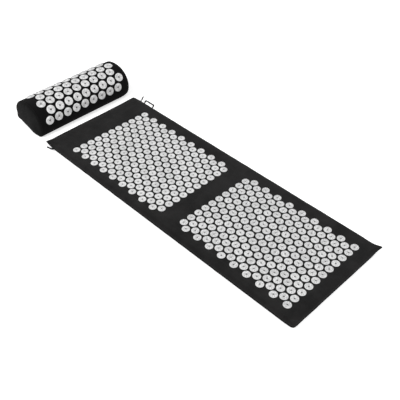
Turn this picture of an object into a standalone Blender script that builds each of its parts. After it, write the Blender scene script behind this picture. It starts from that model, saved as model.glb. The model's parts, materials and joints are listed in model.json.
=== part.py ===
"""Acupressure mat with its neck pillow.

Two zipped cotton covers, filled with foam, carry welded plastic spike discs. Metres, +Z up.
The origin is the centre of the mat's underside, and +Y points to the head end and the pillow.
"""

import math

import bmesh
import bpy
from mathutils import Matrix, Vector

# Cloth and fits
CLOTH = 0.001  # cotton cover, two layers sewn together
GAP = 0.0003  # clearance between neighbouring pieces
OVERRUN = 0.010  # how far a cutter passes the surface it cuts

# Mat
MAT_LENGTH = 1.118
MAT_WIDTH = 0.411
MAT_THICKNESS = 0.020  # underside to top cloth
MAT_EDGE_RADIUS = 0.006
MAT_CORNER_RADIUS = 0.014

# Spike discs of the mat, in two fields that are welded a little askew
DISC_DIAMETER = 0.025
DISC_HEIGHT = 0.0016  # plate above the cloth
DISC_PITCH = 0.031
DISC_ROW_PITCH = 0.025
HEAD_MARGIN = 0.1213  # head edge to the centres of the first row
FOOT_MARGIN = 0.040  # least room from the centres of the last row to the foot edge
SIDE_MARGIN = 0.044  # least room from the outer centres of a long row to the side edges
FIELD_GAP = 0.0925  # last row of the upper field to first row of the lower field
UPPER_FIELD_SHIFT = -0.0079
LOWER_FIELD_SHIFT = -0.0056
FIELD_TURN = math.radians(-0.74)
DISC_SIDES = 8
DISC_TOP_SHARE = 0.94  # a disc's upper rim, of its diameter

# Pillow
PILLOW_LENGTH = 0.416
PILLOW_DEPTH = 0.156
PILLOW_HEIGHT = 0.109
PILLOW_SHIFT = 0.012  # the pillow lies this far to the right of the mat's centre line
PILLOW_WALL_HEIGHT = 0.032  # where the upright walls end and the arch starts
PILLOW_BOTTOM_RADIUS = 0.014
PILLOW_END_RADIUS = 0.008
PILLOW_BASE_SEAM = 0.004  # height of the seam between the base panel and the walls
PILLOW_ARCH_POWER = 2.3  # 2 is an ellipse, more is squarer
PILLOW_ARCH_STEPS = 28
PILLOW_GAP = 0.043  # floor between the mat's head edge and the pillow

# Spike discs of the pillow
PILLOW_DISC_DIAMETER = 0.032
PILLOW_DISC_PITCH = 0.0392
PILLOW_DISC_ROW_PITCH = 0.0338
PILLOW_DISC_ROWS = 7
PILLOW_DISC_END_MARGIN = 0.045  # least room from the outer centres of a row to the ends
PILLOW_DISC_BAND_SHIFT = 0.001  # the middle row lies this far behind the crest
PILLOW_DISC_SHIFT = -0.005  # the rows lie this far along from the pillow's middle

# Zips, the same size in both covers
MAT_ZIP_LENGTH = 0.800
MAT_ZIP_FROM_HEAD = 0.0285  # head edge to the closed end of the coils
PILLOW_ZIP_FROM_END = 0.058  # end of the pillow to either end of the coils
COIL_WIDTH = 0.0022
COIL_THICKNESS = 0.0018
TAPE_THICKNESS = 0.0006
TAPE_OVERLAP = 0.002  # tape sewn behind the edge of the cloth
TAPE_TAIL = 0.006  # tape past each end of the coils, behind the cloth
ZIP_END_ROOM = 0.004  # opening in the cloth past each end of the coils
STOP_LENGTH = 0.0022
BOTTOM_STOP_LENGTH = 0.0028
STOP_LAP = 0.0003  # how much wider a stop is than its coil

# Slider and pull
SLIDER_LENGTH = 0.011
SLIDER_PLATE = 0.0009
SLIDER_OVERHANG = 0.00075  # plate past the edge of the opening
SLIDER_FLANGE = 0.0004
SLIDER_TAIL_SHARE = 0.85  # width of the tail, of the shoulders
NECK_WIDTH = 0.001
NECK_LENGTH = 0.0026
BAIL_INNER_LENGTH = 0.0044
BAIL_INNER_HEIGHT = 0.0024
BAIL_BAR = 0.0009
BAIL_WIDTH = 0.0012
PULL_LENGTH = 0.034
PULL_WIDTH = 0.0055
PULL_THICKNESS = 0.0012
MAT_PULL_ANGLE = math.radians(34.0)  # from straight out, towards the closed end
PILLOW_PULL_ANGLE = math.radians(75.0)

# Loop and tab
LOOP_FROM_HEAD = 0.0595  # head edge to the nearer leg
LOOP_LENGTH = 0.045
LOOP_REACH = 0.0155
LOOP_LEAN = 0.0085  # the outer bar lies this much nearer the head than the legs
LOOP_BAND = 0.0042
LOOP_THICKNESS = 0.0014
LOOP_CLEARANCE = 0.0005  # above the passing slider
TAB_FROM_HEAD = 0.046
TAB_REACH = 0.0105
TAB_LENGTH = 0.0206
TAB_HEIGHT = 0.006
TAB_THICKNESS = 0.0012

# Worked out from the sizes above
FIELDS_LENGTH = MAT_LENGTH - HEAD_MARGIN - FOOT_MARGIN
DISC_ROWS = 1 + int((FIELDS_LENGTH - FIELD_GAP) / (2 * DISC_ROW_PITCH))
DISCS_IN_LONG_ROW = 1 + int((MAT_WIDTH - 2 * SIDE_MARGIN) / DISC_PITCH)
PILLOW_DISCS_IN_ROW = 1 + int((PILLOW_LENGTH - 2 * PILLOW_DISC_END_MARGIN) / PILLOW_DISC_PITCH)
PILLOW_ZIP_LENGTH = PILLOW_LENGTH - 2 * PILLOW_ZIP_FROM_END
COIL_INNER = NECK_WIDTH / 2 + GAP
COIL_OUTER = COIL_INNER + COIL_WIDTH
ZIP_OPENING = 2 * (COIL_OUTER + 2 * GAP + SLIDER_FLANGE)
TAPE_REACH = ZIP_OPENING / 2 + TAPE_OVERLAP
SLIDER_HALF_WIDTH = ZIP_OPENING / 2 + SLIDER_OVERHANG


def rounding_depth(height, radius):
    """How far a rounded edge has gone in, at a height above the start of its rounding."""
    height = min(max(height, 0.0), radius)
    return radius - math.sqrt(radius * radius - height * height)


FLAT_WALL = MAT_THICKNESS / 2 - MAT_EDGE_RADIUS
TAPE_FACE = -(CLOTH + GAP + rounding_depth(TAPE_REACH - FLAT_WALL, MAT_EDGE_RADIUS - CLOTH))
COIL_BASE = TAPE_FACE + GAP
COIL_TOP = COIL_BASE + COIL_THICKNESS
OUTER_PLATE = max(COIL_TOP, 0.0) + GAP
BAIL_FOOT = OUTER_PLATE + SLIDER_PLATE
INNER_PLATE = TAPE_FACE - TAPE_THICKNESS - GAP - SLIDER_PLATE
ZIP_ROOM = GAP - INNER_PLATE  # free depth behind a wall that carries a zip
PIN_CENTRE = BAIL_FOOT + BAIL_INNER_HEIGHT / 2
PILLOW_CENTRE = MAT_LENGTH / 2 + PILLOW_GAP + PILLOW_DEPTH / 2
PILLOW_ZIP_HEIGHT = (PILLOW_BOTTOM_RADIUS + PILLOW_WALL_HEIGHT) / 2


# Scene, collections and materials
def clear_scene():
    for item in list(bpy.data.objects):
        bpy.data.objects.remove(item, do_unlink=True)


def new_collection(name):
    collection = bpy.data.collections.new(name)
    bpy.context.scene.collection.children.link(collection)
    return collection


def new_material(name, colour, roughness):
    material = bpy.data.materials.new(name)
    material.use_nodes = True
    shader = material.node_tree.nodes["Principled BSDF"]
    shader.inputs["Base Color"].default_value = (*colour, 1.0)
    shader.inputs["Roughness"].default_value = roughness
    shader.inputs["Metallic"].default_value = 0.0
    return material


clear_scene()
PARTS = new_collection("acupressure_mat")
CUTTERS = new_collection("cutters")
COTTON = new_material("black_cotton", (0.021, 0.021, 0.021), 0.95)
PILLOW_COTTON = new_material("pillow_cotton", (0.010, 0.010, 0.010), 0.95)
DISC_PLASTIC = new_material("pale_moulded_plastic", (0.78, 0.78, 0.78), 0.45)
FOAM = new_material("foam", (0.60, 0.57, 0.48), 0.98)
TAPE = new_material("zip_tape", (0.012, 0.012, 0.012), 0.9)
NYLON = new_material("nylon_coil", (0.018, 0.018, 0.018), 0.4)
ENAMEL = new_material("black_enamel", (0.015, 0.015, 0.015), 0.3)
WEBBING = new_material("webbing", (0.016, 0.016, 0.016), 0.85)


# Building blocks
def add_part(name, mesh, material, parent=None):
    part = bpy.data.objects.new(name, mesh)
    part.parent = parent
    mesh.materials.clear()
    mesh.materials.append(material)
    PARTS.objects.link(part)
    return part


def add_cutter(name, mesh, parent=None):
    cutter = bpy.data.objects.new(name, mesh)
    cutter.parent = parent
    cutter.hide_render = True
    cutter.display_type = "WIRE"
    CUTTERS.objects.link(cutter)
    return cutter


def combine(part, other, operation):
    """Cuts the other object from the part, or joins it to the part."""
    modifier = part.modifiers.new(other.name, "BOOLEAN")
    modifier.object = other
    modifier.operation = operation
    modifier.solver = "EXACT"
    modifier.material_mode = "TRANSFER"


def block_mesh(name, low, high):
    """A box between two opposite corners."""
    low, high = Vector(low), Vector(high)
    shape = bmesh.new()
    placed = Matrix.Translation((low + high) / 2) @ Matrix.Diagonal((*(high - low), 1.0))
    bmesh.ops.create_cube(shape, size=1.0, matrix=placed)
    mesh = bpy.data.meshes.new(name)
    shape.to_mesh(mesh)
    shape.free()
    return mesh


def flat_mesh(name, outlines, thickness, rounding=0.0, steps=1, placed=Matrix()):
    """Closed outlines filled and extruded evenly to both sides, with rounded rims if asked."""
    curve = bpy.data.curves.new(name, "CURVE")
    curve.dimensions = "2D"
    curve.fill_mode = "BOTH"
    curve.extrude = thickness / 2 - rounding
    curve.bevel_depth = rounding
    curve.bevel_resolution = steps
    curve.offset = -rounding
    for outline in outlines:
        spline = curve.splines.new("POLY")
        spline.points.add(len(outline) - 1)
        for point, (x, y) in zip(spline.points, outline):
            point.co = (x, y, 0.0, 1.0)
        spline.use_cyclic_u = True
    holder = bpy.data.objects.new(name, curve)
    CUTTERS.objects.link(holder)
    graph = bpy.context.evaluated_depsgraph_get()
    mesh = bpy.data.meshes.new_from_object(holder.evaluated_get(graph))
    bpy.data.objects.remove(holder)
    shape = bmesh.new()
    shape.from_mesh(mesh)
    bmesh.ops.remove_doubles(shape, verts=shape.verts, dist=GAP / 10)
    bmesh.ops.transform(shape, matrix=placed, verts=shape.verts)
    bmesh.ops.recalc_face_normals(shape, faces=shape.faces)
    shape.to_mesh(mesh)
    shape.free()
    return mesh


def shade_round(part):
    part.data.shade_smooth()
    part.data.set_sharp_from_angle(angle=math.radians(35.0))


def arc(centre, radius, start, end, steps):
    """Points of an arc, angles in degrees."""
    turns = [math.radians(start + (end - start) * i / steps) for i in range(steps + 1)]
    return [(centre[0] + radius * math.cos(a), centre[1] + radius * math.sin(a)) for a in turns]


def band_outline(path, width):
    """The outline of a flat band whose middle follows a path, mitred at its corners."""
    points = [Vector(p) for p in path]
    runs = [(b - a).normalized() for a, b in zip(points, points[1:])]
    left, right = [], []
    for point, before, after in zip(points, runs[:1] + runs, runs + runs[-1:]):
        along = (before + after).normalized()
        across = Vector((-along.y, along.x)) * (width / 2 / along.dot(before))
        left.append(tuple(point + across))
        right.append(tuple(point - across))
    return left + right[::-1]


# Spike discs
def add_disc(shape, placed, diameter):
    """One disc's plate, rooted half a cloth deep where its placement has its origin."""
    root = CLOTH / 2
    middle = Matrix.Translation((0.0, 0.0, (DISC_HEIGHT - root) / 2))
    turned = Matrix.Rotation(math.pi / DISC_SIDES, 4, "Z")
    bmesh.ops.create_cone(
        shape,
        cap_ends=True,
        segments=DISC_SIDES,
        radius1=diameter / 2,
        radius2=diameter / 2 * DISC_TOP_SHARE,
        depth=DISC_HEIGHT + root,
        matrix=placed @ middle @ turned,
    )


def disc_cutter(name, places, diameter):
    """All the discs of a cover as one helper, which is then joined to the cover."""
    shape = bmesh.new()
    for placed in places:
        add_disc(shape, placed, diameter)
    mesh = bpy.data.meshes.new(name)
    shape.to_mesh(mesh)
    shape.free()
    mesh.materials.append(DISC_PLASTIC)
    return add_cutter(name, mesh)


def mat_disc_places():
    """Two fields of rows that hold one disc more or less in turn, half a pitch apart."""
    half = (DISC_ROWS - 1) / 2 * DISC_ROW_PITCH
    upper = MAT_LENGTH / 2 - HEAD_MARGIN - half
    lower = upper - 2 * half - FIELD_GAP
    for centre, shift, fewer_first in ((upper, UPPER_FIELD_SHIFT, 0), (lower, LOWER_FIELD_SHIFT, 1)):
        field = Matrix.Translation((shift, centre, MAT_THICKNESS)) @ Matrix.Rotation(FIELD_TURN, 4, "Z")
        for row in range(DISC_ROWS):
            count = DISCS_IN_LONG_ROW - (row + fewer_first) % 2
            for i in range(count):
                x = (i - (count - 1) / 2) * DISC_PITCH
                yield field @ Matrix.Translation((x, half - row * DISC_ROW_PITCH, 0.0))


# Zips
def zip_line(name, place, turn):
    """The zip's own frame: +X along it from the closed end, +Y out of the wall, +Z up."""
    line = bpy.data.objects.new(name, None)
    line.location = place
    line.rotation_euler = (0.0, 0.0, turn)
    PARTS.objects.link(line)
    return line


def zip_opening(name, length, line):
    low = (-ZIP_END_ROOM, -ZIP_ROOM, -ZIP_OPENING / 2)
    high = (length + ZIP_END_ROOM, OVERRUN, ZIP_OPENING / 2)
    return add_cutter(name, block_mesh(name, low, high), line)


def add_zip_side(prefix, side, sign, length, line):
    """One tape with its coil and its top stop, above or below the middle of the zip."""
    edge = sorted((sign * (COIL_INNER + GAP), sign * TAPE_REACH))
    low = (-TAPE_TAIL, TAPE_FACE - TAPE_THICKNESS, edge[0])
    high = (length + TAPE_TAIL, TAPE_FACE, edge[1])
    name = f"{prefix}_zip_tape_{side}"
    add_part(name, block_mesh(name, low, high), TAPE, line)

    edge = sorted((sign * COIL_INNER, sign * COIL_OUTER))
    name = f"{prefix}_zip_coil_{side}"
    mesh = block_mesh(name, (0.0, COIL_BASE, edge[0]), (length, COIL_TOP, edge[1]))
    coil = add_part(name, mesh, NYLON, line)
    rounding = coil.modifiers.new("rounded", "BEVEL")
    rounding.width = COIL_THICKNESS / 4
    rounding.segments = 2

    edge = sorted((sign * (COIL_INNER - STOP_LAP / 2), sign * (COIL_OUTER + STOP_LAP / 2)))
    name = f"{prefix}_zip_top_stop_{side}"
    low = (-GAP - STOP_LENGTH, COIL_BASE, edge[0])
    high = (-GAP, COIL_TOP, edge[1])
    stop = add_part(name, block_mesh(name, low, high), ENAMEL, line)
    rounding = stop.modifiers.new("rounded", "BEVEL")
    rounding.width = COIL_THICKNESS / 6


def slider_outline():
    """The slider's plate seen from outside: shoulders towards the closed end, then a tail."""
    half, tail = SLIDER_LENGTH / 2, SLIDER_HALF_WIDTH * SLIDER_TAIL_SHARE
    shoulder_shares = ((-1.0, 0.30), (-0.92, 0.72), (-0.70, 0.96), (-0.40, 1.0))
    upper = [(half * x, SLIDER_HALF_WIDTH * z) for x, z in shoulder_shares]
    upper += [(half * 0.90, tail), (half, tail * 0.88)]
    return upper + [(x, -z) for x, z in reversed(upper)]


def bail_outline():
    """The arch over the pull's pin, seen from the side, with its feet sunk in the plate."""
    inner, height = BAIL_INNER_LENGTH / 2, BAIL_INNER_HEIGHT
    outer, top, foot = inner + BAIL_BAR, height + BAIL_BAR, -SLIDER_PLATE / 2
    corner = BAIL_BAR * 0.7
    half = [(outer, foot), (outer, top - corner), (outer - corner, top)]
    inside = [(inner, foot), (inner, height - corner / 2), (inner - corner / 2, height)]
    back = [(-x, y) for x, y in reversed(half)] + [(-x, y) for x, y in inside]
    return half + back + list(reversed(inside))


def upright(u, y, z=0.0):
    """Lays a flat shape drawn in length and height against the wall, facing out of it."""
    return Matrix.Translation((u, y, z)) @ Matrix.Rotation(math.pi / 2, 4, "X")


def add_slider(prefix, line):
    """Two plates round the coils, joined by a neck between them, with a bail on the outside."""
    centre = SLIDER_LENGTH / 2 + GAP
    name = f"{prefix}_zip_slider"
    carrier = bpy.data.objects.new(f"{name}_place", None)
    carrier.parent = line
    carrier.location = (centre, 0.0, 0.0)
    PARTS.objects.link(carrier)
    plate = upright(0.0, OUTER_PLATE + SLIDER_PLATE / 2)
    mesh = flat_mesh(name, [slider_outline()], SLIDER_PLATE, placed=plate)
    slider = add_part(name, mesh, ENAMEL, carrier)

    plate = upright(0.0, INNER_PLATE + SLIDER_PLATE / 2)
    mesh = flat_mesh(f"{name}_inner", [slider_outline()], SLIDER_PLATE, placed=plate)
    joined = [add_cutter(f"{name}_inner", mesh, carrier)]
    nose = SLIDER_LENGTH / 4 - SLIDER_LENGTH / 2
    low = (nose - NECK_LENGTH / 2, INNER_PLATE + SLIDER_PLATE / 2, -NECK_WIDTH / 2)
    high = (nose + NECK_LENGTH / 2, OUTER_PLATE + SLIDER_PLATE / 2, NECK_WIDTH / 2)
    joined.append(add_cutter(f"{name}_neck", block_mesh(f"{name}_neck", low, high), carrier))
    for side, sign in (("upper", 1), ("lower", -1)):
        edge = sorted((sign * (COIL_OUTER + GAP), sign * (COIL_OUTER + GAP + SLIDER_FLANGE)))
        low = (-SLIDER_LENGTH / 4, TAPE_FACE + GAP, edge[0])
        high = (SLIDER_LENGTH * 0.4, OUTER_PLATE + SLIDER_PLATE / 2, edge[1])
        label = f"{name}_flange_{side}"
        joined.append(add_cutter(label, block_mesh(label, low, high), carrier))
    standing = Matrix.Translation((0.0, BAIL_FOOT, 0.0))
    mesh = flat_mesh(f"{name}_bail", [bail_outline()], BAIL_WIDTH, placed=standing)
    joined.append(add_cutter(f"{name}_bail", mesh, carrier))
    for piece in joined:
        combine(slider, piece, "UNION")
    return carrier


def add_pull(prefix, carrier, angle):
    """The pull's tab, with a window for the bail and a pin at its root that turns under it."""
    reach = math.hypot(BAIL_INNER_LENGTH / 2 + BAIL_BAR, BAIL_INNER_HEIGHT / 2 + BAIL_BAR)
    pin = PULL_THICKNESS / 2
    window_end, window_half = reach + GAP, BAIL_WIDTH / 2 + GAP
    half, round_end = PULL_WIDTH / 2, PULL_WIDTH / 3
    tip = PULL_LENGTH - pin
    body = [(-half, -pin), (half, -pin)]
    body += arc((half - round_end, tip - round_end), round_end, 0.0, 90.0, 4)
    body += arc((round_end - half, tip - round_end), round_end, 90.0, 180.0, 4)
    window = [(-window_half, pin), (window_half, pin), (window_half, window_end), (-window_half, window_end)]
    name = f"{prefix}_zip_pull"
    standing = Matrix.Rotation(math.pi / 2, 4, "Y")
    mesh = flat_mesh(name, [body, window], PULL_THICKNESS, placed=standing)
    pull = add_part(name, mesh, ENAMEL, carrier)
    pull.location = (0.0, PIN_CENTRE, 0.0)
    pull.rotation_euler = (0.0, 0.0, angle)


def add_zip(prefix, length, line, pull_angle):
    for side, sign in (("upper", 1), ("lower", -1)):
        add_zip_side(prefix, side, sign, length, line)
    name = f"{prefix}_zip_bottom_stop"
    wide = COIL_OUTER + STOP_LAP / 2
    low = (length + GAP, COIL_BASE, -wide)
    high = (length + GAP + BOTTOM_STOP_LENGTH, COIL_TOP, wide)
    stop = add_part(name, block_mesh(name, low, high), ENAMEL, line)
    rounding = stop.modifiers.new("rounded", "BEVEL")
    rounding.width = COIL_THICKNESS / 6
    add_pull(prefix, add_slider(prefix, line), pull_angle)


# Mat
def pad_mesh(name, inset):
    """The mat's rounded slab, shrunk evenly on every side by an inset."""
    x = MAT_WIDTH / 2 - MAT_CORNER_RADIUS
    y = MAT_LENGTH / 2 - MAT_CORNER_RADIUS
    radius = MAT_CORNER_RADIUS - inset
    outline = []
    for turn, corner in enumerate(((x, y), (-x, y), (-x, -y), (x, -y))):
        outline += arc(corner, radius, 90.0 * turn, 90.0 * turn + 90.0, 5)
    raised = Matrix.Translation((0.0, 0.0, MAT_THICKNESS / 2))
    thickness = MAT_THICKNESS - 2 * inset
    return flat_mesh(name, [outline], thickness, MAT_EDGE_RADIUS - inset, 2, raised)


def mat_side_cutter(name, low, high):
    """A slab over the whole mat between two heights."""
    x, y = MAT_WIDTH / 2 + OVERRUN, MAT_LENGTH / 2 + OVERRUN
    return add_cutter(name, block_mesh(name, (-x, -y, low), (x, y, high)))


def add_mat():
    place = (MAT_WIDTH / 2, MAT_LENGTH / 2 - MAT_ZIP_FROM_HEAD, MAT_THICKNESS / 2)
    line = zip_line("mat_zip_line", place, -math.pi / 2)
    opening = zip_opening("mat_zip_opening", MAT_ZIP_LENGTH, line)
    hollow = add_cutter("mat_hollow", pad_mesh("mat_hollow", CLOTH))
    seam = MAT_THICKNESS / 2
    below = mat_side_cutter("mat_below_seam", -OVERRUN, seam + GAP / 2)
    above = mat_side_cutter("mat_above_seam", seam - GAP / 2, MAT_THICKNESS + OVERRUN)

    top = add_part("mat_top_cover", pad_mesh("mat_top_cover", 0.0), COTTON)
    for cutter in (hollow, below, opening):
        combine(top, cutter, "DIFFERENCE")
    combine(top, disc_cutter("mat_discs", mat_disc_places(), DISC_DIAMETER), "UNION")
    bottom = add_part("mat_bottom_cover", pad_mesh("mat_bottom_cover", 0.0), COTTON)
    for cutter in (hollow, above, opening):
        combine(bottom, cutter, "DIFFERENCE")

    foam = add_part("mat_foam_core", pad_mesh("mat_foam_core", CLOTH + GAP), FOAM)
    y = MAT_LENGTH / 2 + OVERRUN
    low = (MAT_WIDTH / 2 - ZIP_ROOM, -y, -OVERRUN)
    high = (MAT_WIDTH / 2 + OVERRUN, y, MAT_THICKNESS + OVERRUN)
    room = add_cutter("mat_zip_room", block_mesh("mat_zip_room", low, high))
    combine(foam, room, "DIFFERENCE")
    add_zip("mat", MAT_ZIP_LENGTH, line, MAT_PULL_ANGLE)


def add_hanging_loop():
    """A flat woven loop at the right edge, above the path of the slider."""
    low = MAT_THICKNESS / 2 + SLIDER_HALF_WIDTH + LOOP_CLEARANCE
    wall = MAT_WIDTH / 2 - rounding_depth(low - MAT_THICKNESS / 2 - FLAT_WALL, MAT_EDGE_RADIUS) + GAP
    near = MAT_LENGTH / 2 - LOOP_FROM_HEAD
    far = near - LOOP_LENGTH
    bar = wall + LOOP_REACH - LOOP_BAND / 2
    root, fall = wall - LOOP_BAND, LOOP_LEAN * LOOP_BAND / (bar - wall)
    path = [(root, near - fall), (bar, near + LOOP_LEAN), (bar, far + LOOP_LEAN), (root, far - fall)]
    raised = Matrix.Translation((0.0, 0.0, low + LOOP_THICKNESS / 2))
    outline = band_outline(path, LOOP_BAND)
    mesh = flat_mesh("mat_hanging_loop", [outline], LOOP_THICKNESS, placed=raised)
    loop = add_part("mat_hanging_loop", mesh, WEBBING)
    y = MAT_LENGTH / 2 + OVERRUN
    trim = block_mesh("loop_trim", (root - OVERRUN, -y, 0.0), (wall, y, MAT_THICKNESS + OVERRUN))
    combine(loop, add_cutter("loop_trim", trim), "DIFFERENCE")


def add_side_tab():
    """A folded ribbon sewn in the left seam, which curls towards the head."""
    path_shares = ((0.0, 0.0), (0.2, 0.0), (0.42, 0.12), (0.62, 0.33))
    path_shares += ((0.72, 0.62), (0.82, 0.85), (1.0, 1.0))
    root = -MAT_WIDTH / 2 - GAP
    start = MAT_LENGTH / 2 - TAB_FROM_HEAD
    path = [(root - TAB_REACH * x, start + TAB_LENGTH * y) for x, y in path_shares]
    raised = Matrix.Translation((0.0, 0.0, MAT_THICKNESS / 2))
    outline = band_outline(path, TAB_THICKNESS)
    mesh = flat_mesh("mat_side_tab", [outline], TAB_HEIGHT, placed=raised)
    add_part("mat_side_tab", mesh, WEBBING)


# Pillow
def arch_points(inset, steps):
    """The arch from the top of the rear wall over the crest to the front wall, as (y, z)."""
    wide = PILLOW_DEPTH / 2 - inset
    tall = PILLOW_HEIGHT - PILLOW_WALL_HEIGHT - inset
    points = []
    for i in range(steps + 1):
        turn = math.pi * i / steps
        y = math.copysign(abs(math.cos(turn)) ** (2 / PILLOW_ARCH_POWER), math.cos(turn))
        z = max(math.sin(turn), 0.0) ** (2 / PILLOW_ARCH_POWER)
        points.append((wide * y, PILLOW_WALL_HEIGHT + tall * z))
    return points


def pillow_mesh(name, inset):
    """The pillow's D-section block, shrunk evenly on every side by an inset."""
    y = PILLOW_DEPTH / 2 - PILLOW_BOTTOM_RADIUS
    radius = PILLOW_BOTTOM_RADIUS - inset
    outline = arch_points(inset, PILLOW_ARCH_STEPS)
    outline += arc((-y, PILLOW_BOTTOM_RADIUS), radius, 180.0, 270.0, 4)
    outline += arc((y, PILLOW_BOTTOM_RADIUS), radius, 270.0, 360.0, 4)
    across = Matrix(((0, 0, 1, PILLOW_SHIFT), (1, 0, 0, PILLOW_CENTRE), (0, 1, 0, 0), (0, 0, 0, 1)))
    length = PILLOW_LENGTH - 2 * inset
    return flat_mesh(name, [outline], length, PILLOW_END_RADIUS - inset, 1, across)


def pillow_disc_places():
    """Rows along the pillow, half a pitch apart in turn, each disc square to the arch."""
    fine = arch_points(0.0, 40 * PILLOW_ARCH_STEPS)[::-1]
    lengths = [0.0]
    for (y0, z0), (y1, z1) in zip(fine, fine[1:]):
        lengths.append(lengths[-1] + math.hypot(y1 - y0, z1 - z0))
    middle = PILLOW_SHIFT + PILLOW_DISC_SHIFT
    for row in range(PILLOW_DISC_ROWS):
        past_crest = (row - (PILLOW_DISC_ROWS - 1) / 2) * PILLOW_DISC_ROW_PITCH + PILLOW_DISC_BAND_SHIFT
        wanted = lengths[-1] / 2 + past_crest
        at = min(range(1, len(fine) - 1), key=lambda i: abs(lengths[i] - wanted))
        (y0, z0), (y1, z1) = fine[at - 1], fine[at + 1]
        lean = Matrix.Rotation(math.atan2(z1 - z0, y1 - y0), 4, "X")
        for i in range(PILLOW_DISCS_IN_ROW):
            x = middle + (i - (PILLOW_DISCS_IN_ROW - 1) / 2 + row % 2 / 2) * PILLOW_DISC_PITCH
            yield Matrix.Translation((x, PILLOW_CENTRE + fine[at][0], fine[at][1])) @ lean


def pillow_cutter(name, low_x, high_x, low_z, high_z):
    """A slab over the pillow's whole depth, placed from the pillow's middle."""
    y = PILLOW_DEPTH / 2 + OVERRUN
    low = (PILLOW_SHIFT + low_x, PILLOW_CENTRE - y, low_z)
    high = (PILLOW_SHIFT + high_x, PILLOW_CENTRE + y, high_z)
    return add_cutter(name, block_mesh(name, low, high))


def add_pillow():
    start = PILLOW_SHIFT - PILLOW_ZIP_LENGTH / 2
    place = (start, PILLOW_CENTRE + PILLOW_DEPTH / 2, PILLOW_ZIP_HEIGHT)
    line = zip_line("pillow_zip_line", place, 0.0)
    opening = zip_opening("pillow_zip_opening", PILLOW_ZIP_LENGTH, line)
    hollow = add_cutter("pillow_hollow", pillow_mesh("pillow_hollow", CLOTH))
    seam = PILLOW_LENGTH / 2 - PILLOW_END_RADIUS
    ends = PILLOW_LENGTH / 2 + OVERRUN
    roof = PILLOW_HEIGHT + OVERRUN
    base_top, wall_foot = PILLOW_BASE_SEAM - GAP / 2, PILLOW_BASE_SEAM + GAP / 2
    under = pillow_cutter("pillow_under_walls", -ends, ends, -OVERRUN, wall_foot)
    over = pillow_cutter("pillow_over_base", -ends, ends, base_top, roof)
    past_left = pillow_cutter("pillow_past_left", -ends, -seam + GAP / 2, -OVERRUN, roof)
    past_right = pillow_cutter("pillow_past_right", seam - GAP / 2, ends, -OVERRUN, roof)
    right_of_left = pillow_cutter("pillow_right_of_left", -seam - GAP / 2, ends, -OVERRUN, roof)
    left_of_right = pillow_cutter("pillow_left_of_right", -ends, seam + GAP / 2, -OVERRUN, roof)

    cover = add_part("pillow_cover", pillow_mesh("pillow_cover", 0.0), PILLOW_COTTON)
    for cutter in (hollow, under, past_left, past_right, opening):
        combine(cover, cutter, "DIFFERENCE")
    discs = disc_cutter("pillow_discs", pillow_disc_places(), PILLOW_DISC_DIAMETER)
    combine(cover, discs, "UNION")
    panels = (
        ("pillow_left_end", (hollow, under, right_of_left)),
        ("pillow_right_end", (hollow, under, left_of_right)),
        ("pillow_base", (hollow, over)),
    )
    for name, cutters in panels:
        panel = add_part(name, pillow_mesh(name, 0.0), PILLOW_COTTON)
        for cutter in cutters:
            combine(panel, cutter, "DIFFERENCE")

    foam = add_part("pillow_foam_core", pillow_mesh("pillow_foam_core", CLOTH + GAP), FOAM)
    back = PILLOW_CENTRE + PILLOW_DEPTH / 2
    low = (PILLOW_SHIFT - ends, back - ZIP_ROOM, -OVERRUN)
    high = (PILLOW_SHIFT + ends, back + OVERRUN, roof)
    room = add_cutter("pillow_zip_room", block_mesh("pillow_zip_room", low, high))
    combine(foam, room, "DIFFERENCE")
    add_zip("pillow", PILLOW_ZIP_LENGTH, line, PILLOW_PULL_ANGLE)


add_mat()
add_hanging_loop()
add_side_tab()
add_pillow()
for part in PARTS.objects:
    if part.type == "MESH":
        shade_round(part)
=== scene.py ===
"""Looks of an acupressure mat and its neck pillow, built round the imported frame."""

import json
import math

import bmesh
import bpy
import numpy as np
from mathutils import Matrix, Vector


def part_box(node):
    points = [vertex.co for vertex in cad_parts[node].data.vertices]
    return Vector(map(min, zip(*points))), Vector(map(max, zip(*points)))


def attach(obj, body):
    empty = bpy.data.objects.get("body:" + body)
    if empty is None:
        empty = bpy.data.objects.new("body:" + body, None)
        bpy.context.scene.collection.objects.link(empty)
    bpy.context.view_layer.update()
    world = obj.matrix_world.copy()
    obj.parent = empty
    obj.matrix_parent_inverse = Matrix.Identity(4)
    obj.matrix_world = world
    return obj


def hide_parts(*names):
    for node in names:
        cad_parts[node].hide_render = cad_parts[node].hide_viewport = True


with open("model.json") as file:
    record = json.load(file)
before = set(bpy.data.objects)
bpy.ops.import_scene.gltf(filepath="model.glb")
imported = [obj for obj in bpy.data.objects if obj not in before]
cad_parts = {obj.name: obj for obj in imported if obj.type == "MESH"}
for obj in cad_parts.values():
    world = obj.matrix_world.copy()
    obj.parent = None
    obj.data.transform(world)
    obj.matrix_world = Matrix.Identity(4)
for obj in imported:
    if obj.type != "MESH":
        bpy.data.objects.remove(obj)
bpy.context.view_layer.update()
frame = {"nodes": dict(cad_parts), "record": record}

# Camera: a long lens from the left of the mat's foot, looking down at about 42 degrees.
# Its place was found from the disc rows and the mat's edges.
camera = bpy.data.objects.new("camera", bpy.data.cameras.new("camera"))
bpy.context.scene.collection.objects.link(camera)
camera.location = (-1.104557, -1.082524, 1.383602)
camera.rotation_euler = [math.radians(a) for a in (47.586635, -0.805153, -45.009017)]
camera.data.lens = 57.0676
camera.data.sensor_width = 36
bpy.context.scene.camera = camera


# Cloth of the mat: plain-woven black cotton canvas, dyed and unfinished. The eye sees a dull
# charcoal with soft paler patches where the nap is rubbed, and a fine even grid of threads.
def linear(colour):
    """An sRGB hex colour as linear values."""
    parts = [int(colour[i : i + 2], 16) / 255 for i in (1, 3, 5)]
    return (*[c / 12.92 if c <= 0.04045 else ((c + 0.055) / 1.055) ** 2.4 for c in parts], 1.0)


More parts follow.
